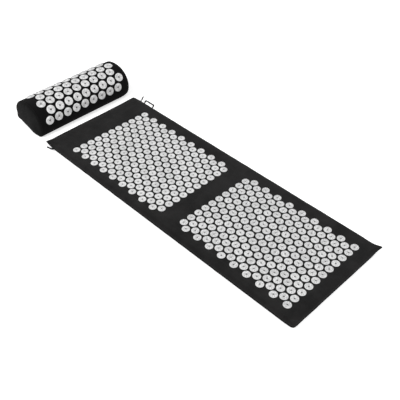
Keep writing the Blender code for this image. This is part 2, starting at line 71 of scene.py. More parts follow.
def node(tree, kind, inputs=None, **settings):
    """Adds a node with its settings. Inputs are values, or one or more sockets that feed them."""
    made = tree.nodes.new(kind)
    for name, value in settings.items():
        setattr(made, name, value)
    for key, value in (inputs or {}).items():
        for feed in value if isinstance(value, list) else [value]:
            if isinstance(feed, bpy.types.NodeSocket):
                tree.links.new(feed, made.inputs[key])
            else:
                made.inputs[key].default_value = feed
    return made


def new_material(name, roughness, specular):
    """A material, its tree and its shader."""
    material = bpy.data.materials.new(name)
    material.use_nodes = True
    tree = material.node_tree
    shader = tree.nodes["Principled BSDF"]
    shader.inputs["Roughness"].default_value = roughness
    shader.inputs["Specular IOR Level"].default_value = specular
    return material, tree, shader


def shaded(tree, shader, pattern, deep, pale, relief=0.0, depth=0.0):
    """Colours a material from a deep to a pale shade by a pattern, and raises it by the same."""
    ramp = node(tree, "ShaderNodeValToRGB", {"Fac": pattern})
    ramp.color_ramp.elements[0].color = linear(deep)
    ramp.color_ramp.elements[1].color = linear(pale)
    tree.links.new(ramp.outputs["Color"], shader.inputs["Base Color"])
    if relief:
        raised = node(tree, "ShaderNodeBump", {"Height": pattern, "Strength": relief,
                      "Distance": depth})
        tree.links.new(raised.outputs["Normal"], shader.inputs["Normal"])
    return ramp


def woven(name, deep, pale, thread, patch, sheen, bump):
    """Woven cloth whose threads follow the piece's own UV map, which is in metres.

    Thread is the thread spacing and patch the size of worn patches, both in metres. Sheen is
    how much the nap catches the light, and bump is the relief of the threads.
    """
    material, tree, shader = new_material(name, 0.95, 0.07)
    cloth = node(tree, "ShaderNodeUVMap", uv_map="cloth").outputs["UV"]
    band = math.pi / 10 / thread  # a wave texture repeats every pi / 10 at a scale of 1
    warp, weft = (node(tree, "ShaderNodeTexWave", {"Vector": cloth, "Scale": band,
                  "Distortion": 0.6, "Detail": 1.0, "Detail Scale": 0.4}, bands_direction=way)
                  for way in "XY")
    knots = node(tree, "ShaderNodeMath", {0: warp.outputs["Fac"], 1: weft.outputs["Fac"]},
                 operation="MULTIPLY")
    place = node(tree, "ShaderNodeTexCoord").outputs["Object"]
    patches = node(tree, "ShaderNodeTexNoise", {"Vector": place, "Scale": 1 / patch,
                   "Detail": 5.0, "Roughness": 0.62})
    lint = node(tree, "ShaderNodeTexNoise", {"Vector": place, "Scale": 1 / (3 * thread),
                "Detail": 2.0, "Roughness": 0.7})
    worn = node(tree, "ShaderNodeMapRange", {"Value": patches.outputs["Fac"], "From Min": 0.36,
                "From Max": 0.68})
    flecks = node(tree, "ShaderNodeMapRange", {"Value": lint.outputs["Fac"], "From Min": 0.3,
                  "From Max": 0.8, "To Max": 0.45})
    shade = node(tree, "ShaderNodeMath", {0: worn.outputs[0], 1: flecks.outputs[0]},
                 operation="ADD")
    threads = node(tree, "ShaderNodeMath", {0: knots.outputs[0], 1: 0.3, 2: shade.outputs[0]},
                   operation="MULTIPLY_ADD")
    level = node(tree, "ShaderNodeMapRange", {"Value": threads.outputs[0], "From Max": 1.75})
    shaded(tree, shader, level.outputs[0], deep, pale)
    relief = node(tree, "ShaderNodeBump", {"Height": threads.outputs[0], "Strength": bump,
                  "Distance": thread / 3})
    tree.links.new(relief.outputs["Normal"], shader.inputs["Normal"])
    shader.inputs["Sheen Weight"].default_value = sheen
    shader.inputs["Sheen Roughness"].default_value = 0.6
    return material


# The real threads lie 0.45 mm apart, and are drawn at 1.2 mm so that they show. The underside
# and the lower half of the walls are drawn in a blacker cotton, as painted shade below the seam.
canvas = woven("woven_cotton_canvas", "#101010", "#262525", 0.0012, 0.060, 0.05, 0.6)
painted_shade_backing = woven("cotton_backing_painted_shade", "#0b0b0b", "#1a1a1a", 0.0012, 0.060, 0.02, 0.6)


# Covers of the mat: a top and a bottom panel of canvas, sewn inside out along the middle of
# the sides and pulled over the foam, so that the seam sits in a groove and the corners stand
# out as small ears. Along the right side the panels are hemmed back from the zip instead.
HALF_WIDTH, HALF_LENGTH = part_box("mat_bottom_cover")[1].xy
THICKNESS = 0.020  # without the discs
SEAM_HEIGHT = THICKNESS / 2
EDGE_RADIUS = 0.006
CORNER_RADIUS = 0.014
CLOTH = 0.0008  # thickness
COVER_CELL = 0.0048
SIDE_BAND = 0.012  # how far from the sides the gathers reach
BULGE = 0.0016  # the furthest that the filling pushes the cloth out
PRESSURE = 4.0
SWELL_STEPS = 20
HAIR = 1e-6  # far less than any real size
ZIP_END_ROOM = 0.004  # from the zip's ends to the ends of the opening
ZIP_START = HALF_LENGTH - 0.0285
ZIP_LENGTH = 0.800
ZIP_OPENING = 0.004
# The two fields of discs, which are places in the cloth from the start.
DISC_RADIUS = 0.0125
DISC_PITCH = 0.031
DISC_ROW_PITCH = 0.025
DISC_ROWS = 18
LONG_ROW = 11
FIELD_TURN = math.radians(-0.74)
FIELD_GAP = 0.0925
FIELD_LENGTH = (DISC_ROWS - 1) * DISC_ROW_PITCH
UPPER_FIELD = (-0.0079, HALF_LENGTH - 0.1213 - FIELD_LENGTH / 2)
LOWER_FIELD = (-0.0056, UPPER_FIELD[1] - FIELD_LENGTH - FIELD_GAP)


def field_places(centre, fewer_first):
    """Centres of one field's discs: rows of 11 and 10 in turn, the whole field a little askew."""
    places = []
    for row in range(DISC_ROWS):
        count = LONG_ROW - (row + fewer_first) % 2
        for i in range(count):
            x = (i - (count - 1) / 2) * DISC_PITCH
            y = FIELD_LENGTH / 2 - row * DISC_ROW_PITCH
            places.append((x, y))
    x, y = np.array(places).T
    c, s = math.cos(FIELD_TURN), math.sin(FIELD_TURN)
    return np.column_stack((centre[0] + x * c - y * s, centre[1] + x * s + y * c))


upper_places = field_places(UPPER_FIELD, 0)
lower_places = field_places(LOWER_FIELD, 1)


def mesh_of(name, points, faces, panels=None, uvs=None):
    """A smooth mesh from points and faces, with a panel number and cloth UVs for each face."""
    mesh = bpy.data.meshes.new(name)
    mesh.from_pydata([tuple(p) for p in points], [], faces)
    if panels is not None:
        mesh.polygons.foreach_set("material_index", np.array(panels, np.int32))
    if uvs is not None:
        layer = mesh.uv_layers.new(name="cloth")
        layer.data.foreach_set("uv", np.array(uvs, np.float32).ravel())
    mesh.shade_smooth()
    mesh.update()
    return mesh


def new_piece(name, mesh, material=None):
    """An object of the scene for a mesh, of one material."""
    piece = bpy.data.objects.new(name, mesh)
    bpy.context.scene.collection.objects.link(piece)
    if material:
        mesh.materials.clear()
        mesh.materials.append(material)
    return piece


def bake_modifiers(piece):
    """Turns the modifiers' result into the piece's plain mesh."""
    graph = bpy.context.evaluated_depsgraph_get()
    mesh = bpy.data.meshes.new_from_object(piece.evaluated_get(graph))
    piece.modifiers.clear()
    piece.data = mesh
    return piece


def points_of(piece):
    """The piece's points as an array."""
    flat = np.empty(len(piece.data.vertices) * 3)
    piece.data.vertices.foreach_get("co", flat)
    return flat.reshape(-1, 3)


def set_points(piece, points):
    """Moves the piece's points."""
    piece.data.vertices.foreach_set("co", points.ravel())
    piece.data.update()


def swell(piece, held, cap):
    """Lets the filling push the cloth out where it isn't held, by at most the cap."""
    rest = points_of(piece)
    group = piece.vertex_groups.new(name="held")
    group.add([int(i) for i in np.flatnonzero(held)], 1.0, "REPLACE")
    cloth = piece.modifiers.new("cloth", "CLOTH")
    cloth.settings.use_pressure = True
    cloth.settings.uniform_pressure_force = PRESSURE
    cloth.settings.effector_weights.gravity = 0.0
    cloth.settings.vertex_group_mass = "held"
    cloth.point_cache.frame_end = SWELL_STEPS
    for step in range(1, SWELL_STEPS + 1):
        bpy.context.scene.frame_set(step)
    graph = bpy.context.evaluated_depsgraph_get()
    move = points_of(piece.evaluated_get(graph)) - rest
    piece.modifiers.clear()
    piece.vertex_groups.clear()
    bpy.context.scene.frame_set(1)
    length = np.linalg.norm(move, axis=1, keepdims=True) + 1e-12
    set_points(piece, rest + move / length * cap * np.tanh(length / cap))


def smooth_noise(points, size, seed):
    """Soft irregular waves from -1 to 1, about size apart, the same on every run."""
    random = np.random.default_rng(seed)
    total = np.zeros(len(points))
    for _ in range(9):
        way = random.normal(size=3)
        way *= random.uniform(0.6, 1.5) * 2 * math.pi / size / np.linalg.norm(way)
        total += np.sin(points @ way + random.uniform(0, 2 * math.pi))
    return total / 5


# Each corner of the outline: its side of the mat, how far its seam is squared out into an ear,
# how much the pad flattens there, over which reach, how far the tip is drawn out, and how far
# it curls up. The curl and the draw act over a share of that reach. The head edge is also
# pulled out a little beside its right corner.
CORNERS = ((1, 1, 0.8, 0.25, 0.026, 0.0, 0.0), (-1, 1, 1.0, 0.55, 0.026, 0.0012, 0.0055),
           (-1, -1, 0.32, 0.15, 0.030, 0.0, 0.0), (1, -1, 1.0, 0.55, 0.028, 0.0058, 0.0070))
CORNER_FAN = 7
CURL_SHARE, DRAW_SHARE = 0.7, 0.4
HEAD_PULL, HEAD_PULL_REACH = 0.005, (0.045, 0.013)


def pinched(points):
    """The pad's points with its height drawn in towards the corners, and the tips drawn out."""
    points = np.array(points)
    for sx, sy, ear, flatten, reach, draw, curl in CORNERS:
        away = points[:, :2] - (sx * HALF_WIDTH, sy * HALF_LENGTH)
        far = np.linalg.norm(away, axis=1)
        points[:, 2] = SEAM_HEIGHT + (points[:, 2] - SEAM_HEIGHT) * (
            1 - flatten * np.exp(-((far / reach) ** 2)))
        points[:, 2] += curl * np.exp(-((far / (CURL_SHARE * reach)) ** 2))
        drawn = draw * np.exp(-((far / (DRAW_SHARE * reach)) ** 2))
        points[:, :2] += np.array((sx, sy)) * drawn[:, None]
    beside = (points[:, :2] - (HALF_WIDTH, HALF_LENGTH)) / HEAD_PULL_REACH
    points[:, 1] += HEAD_PULL * np.exp(-(beside**2).sum(axis=1))
    return points


def walk(line):
    """How far each point of a line is from its start, along the line."""
    return np.concatenate(([0.0], np.cumsum(np.linalg.norm(np.diff(line, axis=0), axis=1))))


def pad_stations(half_x, half_y, cell):
    """Stations round an inner rectangle: grid node, outward way and ear strength."""
    across, along = round(2 * half_x / cell), round(2 * half_y / cell)
    sides = ([(i, along) for i in range(across - 1, 0, -1)],
             [(0, j) for j in range(along - 1, 0, -1)],
             [(i, 0) for i in range(1, across)], [(across, j) for j in range(1, along)])
    ways = ((0.0, 1.0), (-1.0, 0.0), (0.0, -1.0), (1.0, 0.0))
    stations = []
    for side, (sx, sy, ear, *_) in enumerate(CORNERS):
        corner = (across if sx > 0 else 0, along if sy > 0 else 0)
        for k in range(CORNER_FAN + 1):
            angle = math.pi / 2 * (side + k / CORNER_FAN)
            stations.append((corner, (math.cos(angle), math.sin(angle)), ear))
        stations += [(at, ways[side], 0.0) for at in sides[side]]
    return across, along, stations


def pad_surface(inset, cell, zip_gap):
    """The pad's closed surface, all of it moved in by inset: points, faces, panels, UVs."""
    half_x, half_y = HALF_WIDTH - CORNER_RADIUS, HALF_LENGTH - CORNER_RADIUS
    across, along, stations = pad_stations(half_x, half_y, cell)
    xs = np.linspace(-half_x, half_x, across + 1)
    ys = np.linspace(-half_y, half_y, along + 1)
    if zip_gap:
        for end in (ZIP_START + ZIP_END_ROOM, ZIP_START - ZIP_LENGTH - ZIP_END_ROOM):
            ys[np.abs(ys - end).argmin()] = end
    # Rings from the inner rectangle out and down: the flat top, the rounded edge, the wall.
    flat = CORNER_RADIUS - EDGE_RADIUS
    arc = [math.radians(a) for a in (18, 36, 54, 72, 90)]
    rings = [(flat * 0.35, 0.0), (flat * 0.7, 0.0), (flat, 0.0)]
    radius = EDGE_RADIUS - inset
    rings += [(flat + radius * math.sin(a), radius * (1 - math.cos(a))) for a in arc]
    wall = CORNER_RADIUS - inset
    rings += [(wall, radius + (SEAM_HEIGHT - EDGE_RADIUS) * k / 4) for k in (1, 2, 3, 4)]
    walked = walk([(0.0, 0.0)] + rings)
    points, faces, panels, uvs, seam = [], [], [], [], None
    for panel, sign in ((0, 1), (1, -1)):
        base = len(points)
        top = SEAM_HEIGHT + sign * (SEAM_HEIGHT - inset)
        points += [(x, y, top) for y in ys for x in xs]
        uv_at = {base + i: point[:2] for i, point in enumerate(points[base:])}
        grid = np.arange((across + 1) * (along + 1)).reshape(along + 1, across + 1) + base
        rows = [[grid[at[1], at[0]] for at, *_ in stations]]
        for r, (out, down) in enumerate(rings, 1):
            closing = panel == 1 and r == len(rings)
            share = down / (SEAM_HEIGHT - inset)
            rows.append(seam if closing else range(len(points), len(points) + len(stations)))
            for index, (at, way, ear) in zip(rows[-1], stations):
                # An ear squares the rounded corner out, the more so towards the seam.
                reach = out / max(abs(way[0]), abs(way[1])) ** (ear * share**0.6)
                uv_at[index] = (xs[at[0]] + way[0] * walked[r], ys[at[1]] + way[1] * walked[r])
                if not closing:
                    points.append((xs[at[0]] + way[0] * reach, ys[at[1]] + way[1] * reach,
                                   top - sign * down))
        seam = rows[-1]
        made = []
        for j in range(along):
            for i in range(across):
                made.append([grid[j, i], grid[j, i + 1], grid[j + 1, i + 1], grid[j + 1, i]])
        for inner, outer in zip(rows, rows[1:]):
            for s in range(len(stations)):
                t = (s + 1) % len(stations)
                face = [inner[s], outer[s], outer[t], inner[t]]
                made.append(face[:3] if inner[s] == inner[t] else face)
        for face in made:
            face = [int(v) for v in (face if sign > 0 else face[::-1])]
            faces.append(face)
            panels.append(panel)
            uvs += [uv_at[v] for v in face]
    return np.array(points), faces, panels, uvs


points, faces, panels, uvs = pad_surface(0.0, COVER_CELL, True)
cover = new_piece("cover_blank", mesh_of("cover_blank", points, faces, panels, uvs))
to_disc = np.full(len(points), 1.0)
for x, y in np.vstack((upper_places, lower_places)):
    to_disc = np.minimum(to_disc, np.hypot(points[:, 0] - x, points[:, 1] - y))
to_seam = np.abs(points[:, 2] - SEAM_HEIGHT)
in_zip = np.abs(points[:, 1] - ZIP_START + ZIP_LENGTH / 2) < ZIP_LENGTH / 2 + SIDE_BAND
held = (points[:, 2] > THICKNESS - HAIR) & (to_disc < DISC_RADIUS + 0.001)
held |= (points[:, 0] > HALF_WIDTH - HAIR) & (to_seam < ZIP_OPENING + HAIR) & in_zip
held |= (points[:, 2] < HAIR) | (to_seam < HAIR)
swell(cover, held, BULGE)

# Gathers: the seam pulls the cloth in, and the plain parts of the top lie in faint waves. In
# metres: the depth and size of the gathers, the depth and width of the seam's groove, the
# height and size of each wave with its seed, and a crease's depth, width, length and inset.
GATHER, GATHER_SIZE = 0.0003, 0.045
GROOVE, GROOVE_WIDTH = 0.0011, 0.0014
WAVES = ((0.00045, 0.070, 5), (0.00025, 0.026, 6))
CREASE, CREASE_WIDTH, CREASE_LENGTH, CREASE_INSET = 0.0033, 0.0045, 0.016, 0.017
DIAGONAL = 0.707
points = points_of(cover)
from_side = np.abs(points[:, :2]) - (HALF_WIDTH - SIDE_BAND, HALF_LENGTH - SIDE_BAND)
on_side = np.clip(from_side / SIDE_BAND, 0, 1)
ways = np.sign(points[:, :2]) * on_side
zip_part = in_zip & (points[:, 0] > HALF_WIDTH - 0.010)
waves = smooth_noise(points * (1, 1, 0.4), GATHER_SIZE, 3) * np.where(zip_part, 0.15, 1.0)
points[:, :2] += ways * (GATHER * waves)[:, None]
tips = [np.linalg.norm(points[:, :2] - (sx * HALF_WIDTH, sy * HALF_LENGTH), axis=1)
        for sx, sy, *_, curl in CORNERS if curl]
at_tip = np.exp(-((np.minimum(*tips) / 0.016) ** 2))
near_seam = np.exp(-(((points[:, 2] - SEAM_HEIGHT) / GROOVE_WIDTH) ** 2)) * on_side.max(axis=1)
groove = GROOVE * near_seam * np.where(zip_part, 0.0, 1.0) * (1 - at_tip)
points[:, :2] -= ways * groove[:, None]
plain = np.clip((to_disc - DISC_RADIUS) / 0.020, 0, 1) * (points[:, 2] > THICKNESS - 0.004)
points[:, 2] += plain * sum(height * smooth_noise(points, size, seed)
                            for height, size, seed in WAVES)
# The foot's left corner folds over: a short crease lies across it.
fold = points[:, :2] - (CREASE_INSET - HALF_WIDTH, CREASE_INSET - HALF_LENGTH)
crease = np.exp(-((fold @ np.array((DIAGONAL, DIAGONAL)) / CREASE_WIDTH) ** 2))
crease *= np.exp(-((fold @ np.array((DIAGONAL, -DIAGONAL)) / CREASE_LENGTH) ** 2))
points[:, 2] -= CREASE * crease * (points[:, 2] > SEAM_HEIGHT + 0.003)
set_points(cover, pinched(points))


def cut_panel(blank, panel, name, material, drop):
    """One sewn panel of a blank without its dropped faces, thickened inwards to a cloth."""
    shape = bmesh.new()
    shape.from_mesh(blank.data)
    gone = [f for f in shape.faces if f.material_index != panel or drop(f)]
    bmesh.ops.delete(shape, geom=gone, context="FACES")
    for face in shape.faces:
        face.material_index = 0
    mesh = bpy.data.meshes.new(name)
    shape.to_mesh(mesh)
    shape.free()
    piece = new_piece(name, mesh, material)
    wall = piece.modifiers.new("cloth", "SOLIDIFY")
    wall.thickness = CLOTH
    wall.offset = -1.0
    return bake_modifiers(piece)


def at_zip(face):
    """The strip of the right wall that the zip takes."""
    middle = face.calc_center_median()
    beside = middle.x > HALF_WIDTH - 0.003 and abs(middle.z - SEAM_HEIGHT) < ZIP_OPENING
    return beside and ZIP_START - ZIP_LENGTH - ZIP_END_ROOM < middle.y < ZIP_START + ZIP_END_ROOM


# The bottom panel's blacker cotton paints the shade on the lower half of the walls.
for panel, side in ((0, "top"), (1, "bottom")):
    piece = cut_panel(cover, panel, f"mat_{side}_panel", painted_shade_backing if panel else canvas, at_zip)
    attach(piece, "mat")
    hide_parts(f"mat_{side}_cover")
bpy.data.objects.remove(cover)


# Foam of the mat: a sheet of open-cell polyurethane, cut with a hot wire and a little rounded
# at its edges. It lies loose in the cover, cut back behind the zip.
FOAM_INSET = 0.0038
FOAM_CELL = 0.012


def foam_material():
    """Pale yellowish foam with round open cells about 1 mm across, quite dull."""
    material, tree, shader = new_material("open_cell_foam", 0.98, 0.1)
    place = node(tree, "ShaderNodeTexCoord").outputs["Object"]
    cells = node(tree, "ShaderNodeTexVoronoi", {"Vector": place, "Scale": 1 / 0.0011},
                 feature="SMOOTH_F1")
    shaded(tree, shader, cells.outputs["Distance"], "#c9c0a4", "#e9e3cd", 0.6, 0.0004)
    return material


foam = foam_material()
points, faces, *_ = pad_surface(FOAM_INSET, FOAM_CELL, False)
points = pinched(points)
points[:, 0] = np.minimum(points[:, 0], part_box("mat_foam_core")[1].x)
piece = new_piece("mat_foam_sheet", mesh_of("mat_foam_sheet", points, faces), foam)
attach(piece, "mat")
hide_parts("mat_foam_core")


# Spike discs: moulded ABS plates in a pale grey, each with a gate hole in the middle and two
# rings of pointed spikes, welded to the cloth by heat from below. The moulding is satin, and
# its tint differs a little from disc to disc.
def disc_material():
    """Pale satin plastic, tinted by each disc's batch, a little dusty; a random tint on each spike
    paints its light and shade.
    """
    material, tree, shader = new_material("moulded_abs", 0.42, 0.5)
    tint = node(tree, "ShaderNodeAttribute", attribute_name="tint")
    batch = node(tree, "ShaderNodeAttribute", attribute_name="batch")
    shade = node(tree, "ShaderNodeMath", {0: batch.outputs["Fac"], 1: 0.15,
                 2: tint.outputs["Fac"]}, operation="MULTIPLY_ADD")
    ramp = shaded(tree, shader, shade.outputs[0], "#aaaaaa", "#fafafa")
    place = node(tree, "ShaderNodeTexCoord").outputs["Object"]
    grain = node(tree, "ShaderNodeTexNoise", {"Vector": place, "Scale": 1 / 0.0016,
                 "Detail": 3.0, "Roughness": 0.6})
    # Dust lies over that colour in spots, and takes its place on the shader.
    spots = node(tree, "ShaderNodeMapRange", {"Value": grain.outputs["Fac"], "From Min": 0.5,
                 "From Max": 0.8, "To Max": 0.5})
    dust = node(tree, "ShaderNodeMix", {0: spots.outputs[0], 6: ramp.outputs["Color"],
                7: linear("#c9c9c9")}, data_type="RGBA")
    tree.links.new(dust.outputs[2], shader.inputs["Base Color"])
    relief = node(tree, "ShaderNodeBump", {"Height": grain.outputs["Fac"], "Strength": 0.12,
                  "Distance": 0.0002})
    tree.links.new(relief.outputs["Normal"], shader.inputs["Normal"])
    return material


abs_plastic = disc_material()
PLATE_HEIGHT = 0.0016
PLATE_SUNK = 0.0004
PLATE_TINT = 0.51
SPIKE_HEIGHT = 0.0040
SPIKE_SUNK = 0.0002
# Shares of the disc's radius: its gate hole, its two rings and the foot of a spike.
HOLE, INNER_RING, OUTER_RING, SPIKE_FOOT = 0.2, 0.36, 0.72, 0.105


def plate_blank(name, radius, sides):
    """A turned plate with a rounded rim and a hole down to the cloth."""
    hole = radius * HOLE
    profile = ((radius * 0.98, -PLATE_SUNK), (radius, 0.0), (radius, 0.0010),
               (radius * 0.965, 0.00155), (radius * 0.92, PLATE_HEIGHT),
               (hole * 1.2, PLATE_HEIGHT), (hole, PLATE_HEIGHT - 0.0003), (hole, -PLATE_SUNK))
    points, faces = [], []
    for i in range(sides):
        a = 2 * math.pi * i / sides
        points += [(r * math.cos(a), r * math.sin(a), z) for r, z in profile]
    n = len(profile)
    for i in range(sides):
        for k in range(n):
            a, b = i * n + k, ((i + 1) % sides) * n + k
            c, d = ((i + 1) % sides) * n + (k + 1) % n, i * n + (k + 1) % n
            faces.append((a, b, c, d))
    blank = new_piece(name, mesh_of(name, points, faces), abs_plastic)
    blank.hide_render = True
    return blank


def new_tree(name, given, made):
    """An empty geometry tree with its named inputs, one output, and the inputs' sockets."""
    tree = bpy.data.node_groups.new(name, "GeometryNodeTree")
    for label, kind in given:
        tree.interface.new_socket(label, in_out="INPUT", socket_type=f"NodeSocket{kind}")
    tree.interface.new_socket(made, in_out="OUTPUT", socket_type="NodeSocketGeometry")
    return tree, node(tree, "NodeGroupInput").outputs


def close_tree(tree, given, made):
    """Ends a tree: its instances are made real and get the given material."""
    real = node(tree, "GeometryNodeRealizeInstances", {"Geometry": made.outputs[0]})
    dressed = node(tree, "GeometryNodeSetMaterial", {"Geometry": real.outputs[0],
                   "Material": given["Material"]})
    node(tree, "NodeGroupOutput", {0: dressed.outputs[0]})
    return tree


def disc_tree():
    """Geometry nodes: a spiked disc on each vertex, square to the vertex's stored facing."""
    tree, given = new_tree("spike_discs", (
        ("Places", "Geometry"), ("Plate", "Object"), ("Inner Ring Radius", "Float"),
        ("Outer Ring Radius", "Float"), ("Inner Spikes", "Int"), ("Outer Spikes", "Int"),
        ("Spike Height", "Float"), ("Spike Radius", "Float"), ("Plate Height", "Float"),
        ("Seed", "Int"), ("Material", "Material")), "Discs")
    inner = node(tree, "GeometryNodeMeshCircle", {"Vertices": given["Inner Spikes"],
                 "Radius": given["Inner Ring Radius"]})
    outer = node(tree, "GeometryNodeMeshCircle", {"Vertices": given["Outer Spikes"],
                 "Radius": given["Outer Ring Radius"]})
    both = node(tree, "GeometryNodeJoinGeometry", {0: [inner.outputs[0], outer.outputs[0]]})
    sunk = node(tree, "ShaderNodeMath", {0: given["Plate Height"], 1: SPIKE_SUNK},
                operation="SUBTRACT")
    lift = node(tree, "ShaderNodeCombineXYZ", {"Z": sunk.outputs[0]})
    raised = node(tree, "GeometryNodeSetPosition", {"Geometry": both.outputs[0],
                  "Offset": lift.outputs[0]})
    cone = node(tree, "GeometryNodeMeshCone", {"Vertices": 6, "Radius Top": 0.0,
                "Radius Bottom": given["Spike Radius"], "Depth": given["Spike Height"]})
    spikes = node(tree, "GeometryNodeInstanceOnPoints", {"Points": raised.outputs[0],
                  "Instance": cone.outputs[0]})
    # Each spike gets a random tint, paler or darker than the plate: painted light and shade for
    # the spikes' small highlights and shadows.
    spike_light_and_shade = node(tree, "FunctionNodeRandomValue", {2: 0.0, 3: 1.0, "Seed": given["Seed"]})
    worn = node(tree, "GeometryNodeStoreNamedAttribute", {"Geometry": spikes.outputs[0],
                "Name": "tint", "Value": spike_light_and_shade.outputs[1]}, data_type="FLOAT", domain="INSTANCE")
    plate = node(tree, "GeometryNodeObjectInfo", {"Object": given["Plate"]})
    plain = node(tree, "GeometryNodeStoreNamedAttribute", {"Geometry": plate.outputs["Geometry"],
                 "Name": "tint", "Value": PLATE_TINT}, data_type="FLOAT", domain="POINT")
    disc = node(tree, "GeometryNodeJoinGeometry", {0: [plain.outputs[0], worn.outputs[0]]})
    facing = node(tree, "GeometryNodeInputNamedAttribute", {"Name": "facing"},
                  data_type="FLOAT_VECTOR")
    turned = node(tree, "FunctionNodeAlignRotationToVector", {"Vector": facing.outputs[0]},
                  axis="Z")
    spin = node(tree, "FunctionNodeRandomValue", {2: 0.0, 3: 2 * math.pi, "Seed": given["Seed"]})
    about = node(tree, "FunctionNodeAxisAngleToRotation", {"Axis": (0.0, 0.0, 1.0),
                 "Angle": spin.outputs[1]})
    both_turns = node(tree, "FunctionNodeRotateRotation", {"Rotation": turned.outputs[0],
                      "Rotate By": about.outputs[0]}, rotation_space="LOCAL")
    placed = node(tree, "GeometryNodeInstanceOnPoints", {"Points": given["Places"],
                  "Instance": disc.outputs[0], "Rotation": both_turns.outputs[0]})
    batch = node(tree, "FunctionNodeRandomValue", {2: 0.0, 3: 1.0, "Seed": given["Seed"]})
    stored = node(tree, "GeometryNodeStoreNamedAttribute", {"Geometry": placed.outputs[0],
                  "Name": "batch", "Value": batch.outputs[1]}, data_type="FLOAT",
                  domain="INSTANCE")
    return close_tree(tree, given, stored)


def with_nodes(piece, tree, values):
    """Runs a tree on a piece with its inputs set by name, and keeps the result as a mesh."""
    sockets = {s.name: s.identifier for s in tree.interface.items_tree if s.in_out == "INPUT"}
    modifier = piece.modifiers.new(tree.name, "NODES")
    modifier.node_group = tree
    for name, value in values.items():
        modifier[sockets[name]] = value
    return bake_modifiers(piece)


discs = disc_tree()


def place_mesh(name, places, **vectors):
    """A mesh of loose points that carry the named vectors."""
    mesh = mesh_of(name, places, [])
    for key, values in vectors.items():
        mesh.attributes.new(key, "FLOAT_VECTOR", "POINT").data.foreach_set(
            "vector", np.array([tuple(v) for v in values], np.float32).ravel())
    return mesh


def add_discs(name, places, facings, radius, sides, seed, body):
    """All the discs of one field as one piece."""
    blank = plate_blank(f"{name}_plate", radius, sides)
    piece = new_piece(name, place_mesh(name, places, facing=facings))
    with_nodes(piece, discs, {
        "Plate": blank, "Inner Ring Radius": radius * INNER_RING,
        "Outer Ring Radius": radius * OUTER_RING, "Inner Spikes": 9, "Outer Spikes": 18,
        "Spike Height": SPIKE_HEIGHT, "Spike Radius": radius * SPIKE_FOOT,
        "Plate Height": PLATE_HEIGHT, "Seed": seed, "Material": abs_plastic})
    bpy.data.objects.remove(blank)
    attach(piece, body)


for name, places, seed in (("upper", upper_places, 11), ("lower", lower_places, 12)):
    raised = np.column_stack((places, np.full(len(places), THICKNESS)))
    add_discs(f"mat_{name}_discs", raised, [(0.0, 0.0, 1.0)] * len(places), DISC_RADIUS, 24,
              seed, "mat")


# Cover of the pillow: a long panel of the same black cotton over the arch and both walls, two
# D-shaped ends and a base, sewn inside out. The filling rounds each panel out between seams.
PILLOW = Vector((0.012, 0.680, 0.0))
PILLOW_HALF = 0.208
PILLOW_DEPTH = 0.156
PILLOW_HEIGHT = 0.109
WALL_HEIGHT = 0.032
BOTTOM_RADIUS = 0.014
END_RADIUS = 0.008
BASE_SEAM = 0.004
ARCH_POWER = 2.3
PILLOW_DISC_RADIUS = 0.016
PILLOW_DISC_PITCH = 0.0392
PILLOW_ROW_PITCH = 0.0338
PILLOW_ROWS = 7
PILLOW_ROW = 9
ROW_SHIFT = -0.005
BAND_SHIFT = 0.001
PILLOW_ZIP_HEIGHT = (BOTTOM_RADIUS + WALL_HEIGHT) / 2
PILLOW_ZIP_HALF = 0.150
# How many cells the cloth has over the arch, under the base and along the pillow.
OVER, UNDER, ALONG = 62, 30, 73
ARCH_STEPS = 4000
CLOTH_BELOW = 0.0002
PILLOW_FOAM_INSET = 0.0055
PILLOW_BULGE = 0.0045
# The pillow's cotton is denser and blacker than the mat's, and its threads are drawn at 1.1 mm
# for the same reason. The ends take a paler copy of it, which paints the light that falls on them.
twill = woven("dense_cotton_twill", "#060606", "#111011", 0.0011, 0.050, 0.02, 0.6)
painted_light_end_twill = woven("dense_cotton_twill_painted_light_ends", "#090909", "#181818", 0.0011, 0.040, 0.02,
                    0.6)


def squarer(share, power):
    """A cosine or sine for an outline that is squarer than a circle."""
    return math.copysign(abs(share) ** (2 / power), share)


def section_point(turn):
    """A point of the arch, from the rear wall over the crest to the front wall."""
    y = squarer(math.cos(turn), ARCH_POWER) * PILLOW_DEPTH / 2
    rise = squarer(max(math.sin(turn), 0.0), ARCH_POWER)
    return (y, WALL_HEIGHT + (PILLOW_HEIGHT - WALL_HEIGHT) * rise)


def corner_arc(first, last, count):
    """Points of the rear bottom corner, by their angle below the level."""
    return [(PILLOW_DEPTH / 2 - BOTTOM_RADIUS + BOTTOM_RADIUS * math.cos(a),
             BOTTOM_RADIUS - BOTTOM_RADIUS * math.sin(a)) for a in np.linspace(first, last, count)]


def spaced(line, count):
    """The same line with evenly spaced points."""
    line = np.array(line)
    wanted = np.linspace(0.0, walk(line)[-1], count + 1)
    return np.column_stack([np.interp(wanted, walk(line), line[:, k]) for k in (0, 1)])


arch = [section_point(math.pi * i / ARCH_STEPS) for i in range(ARCH_STEPS + 1)]
split = math.pi / 2 - math.acos(1 - BASE_SEAM / BOTTOM_RADIUS)
rear_wall, under_half = corner_arc(split, 0, 20), corner_arc(split, math.pi / 2, 20)
over = spaced(rear_wall + arch + [(-y, z) for y, z in reversed(rear_wall)], OVER)
under = spaced([(-y, z) for y, z in under_half] + list(reversed(under_half)), UNDER)
# Two of the rear wall's points lie on the edges of the zip's strip.
for edge in (PILLOW_ZIP_HEIGHT - ZIP_OPENING, PILLOW_ZIP_HEIGHT + ZIP_OPENING):
    over[np.abs(over[:20, 1] - edge).argmin(), 1] = edge
section = np.vstack((over[:-1], under[:-1]))


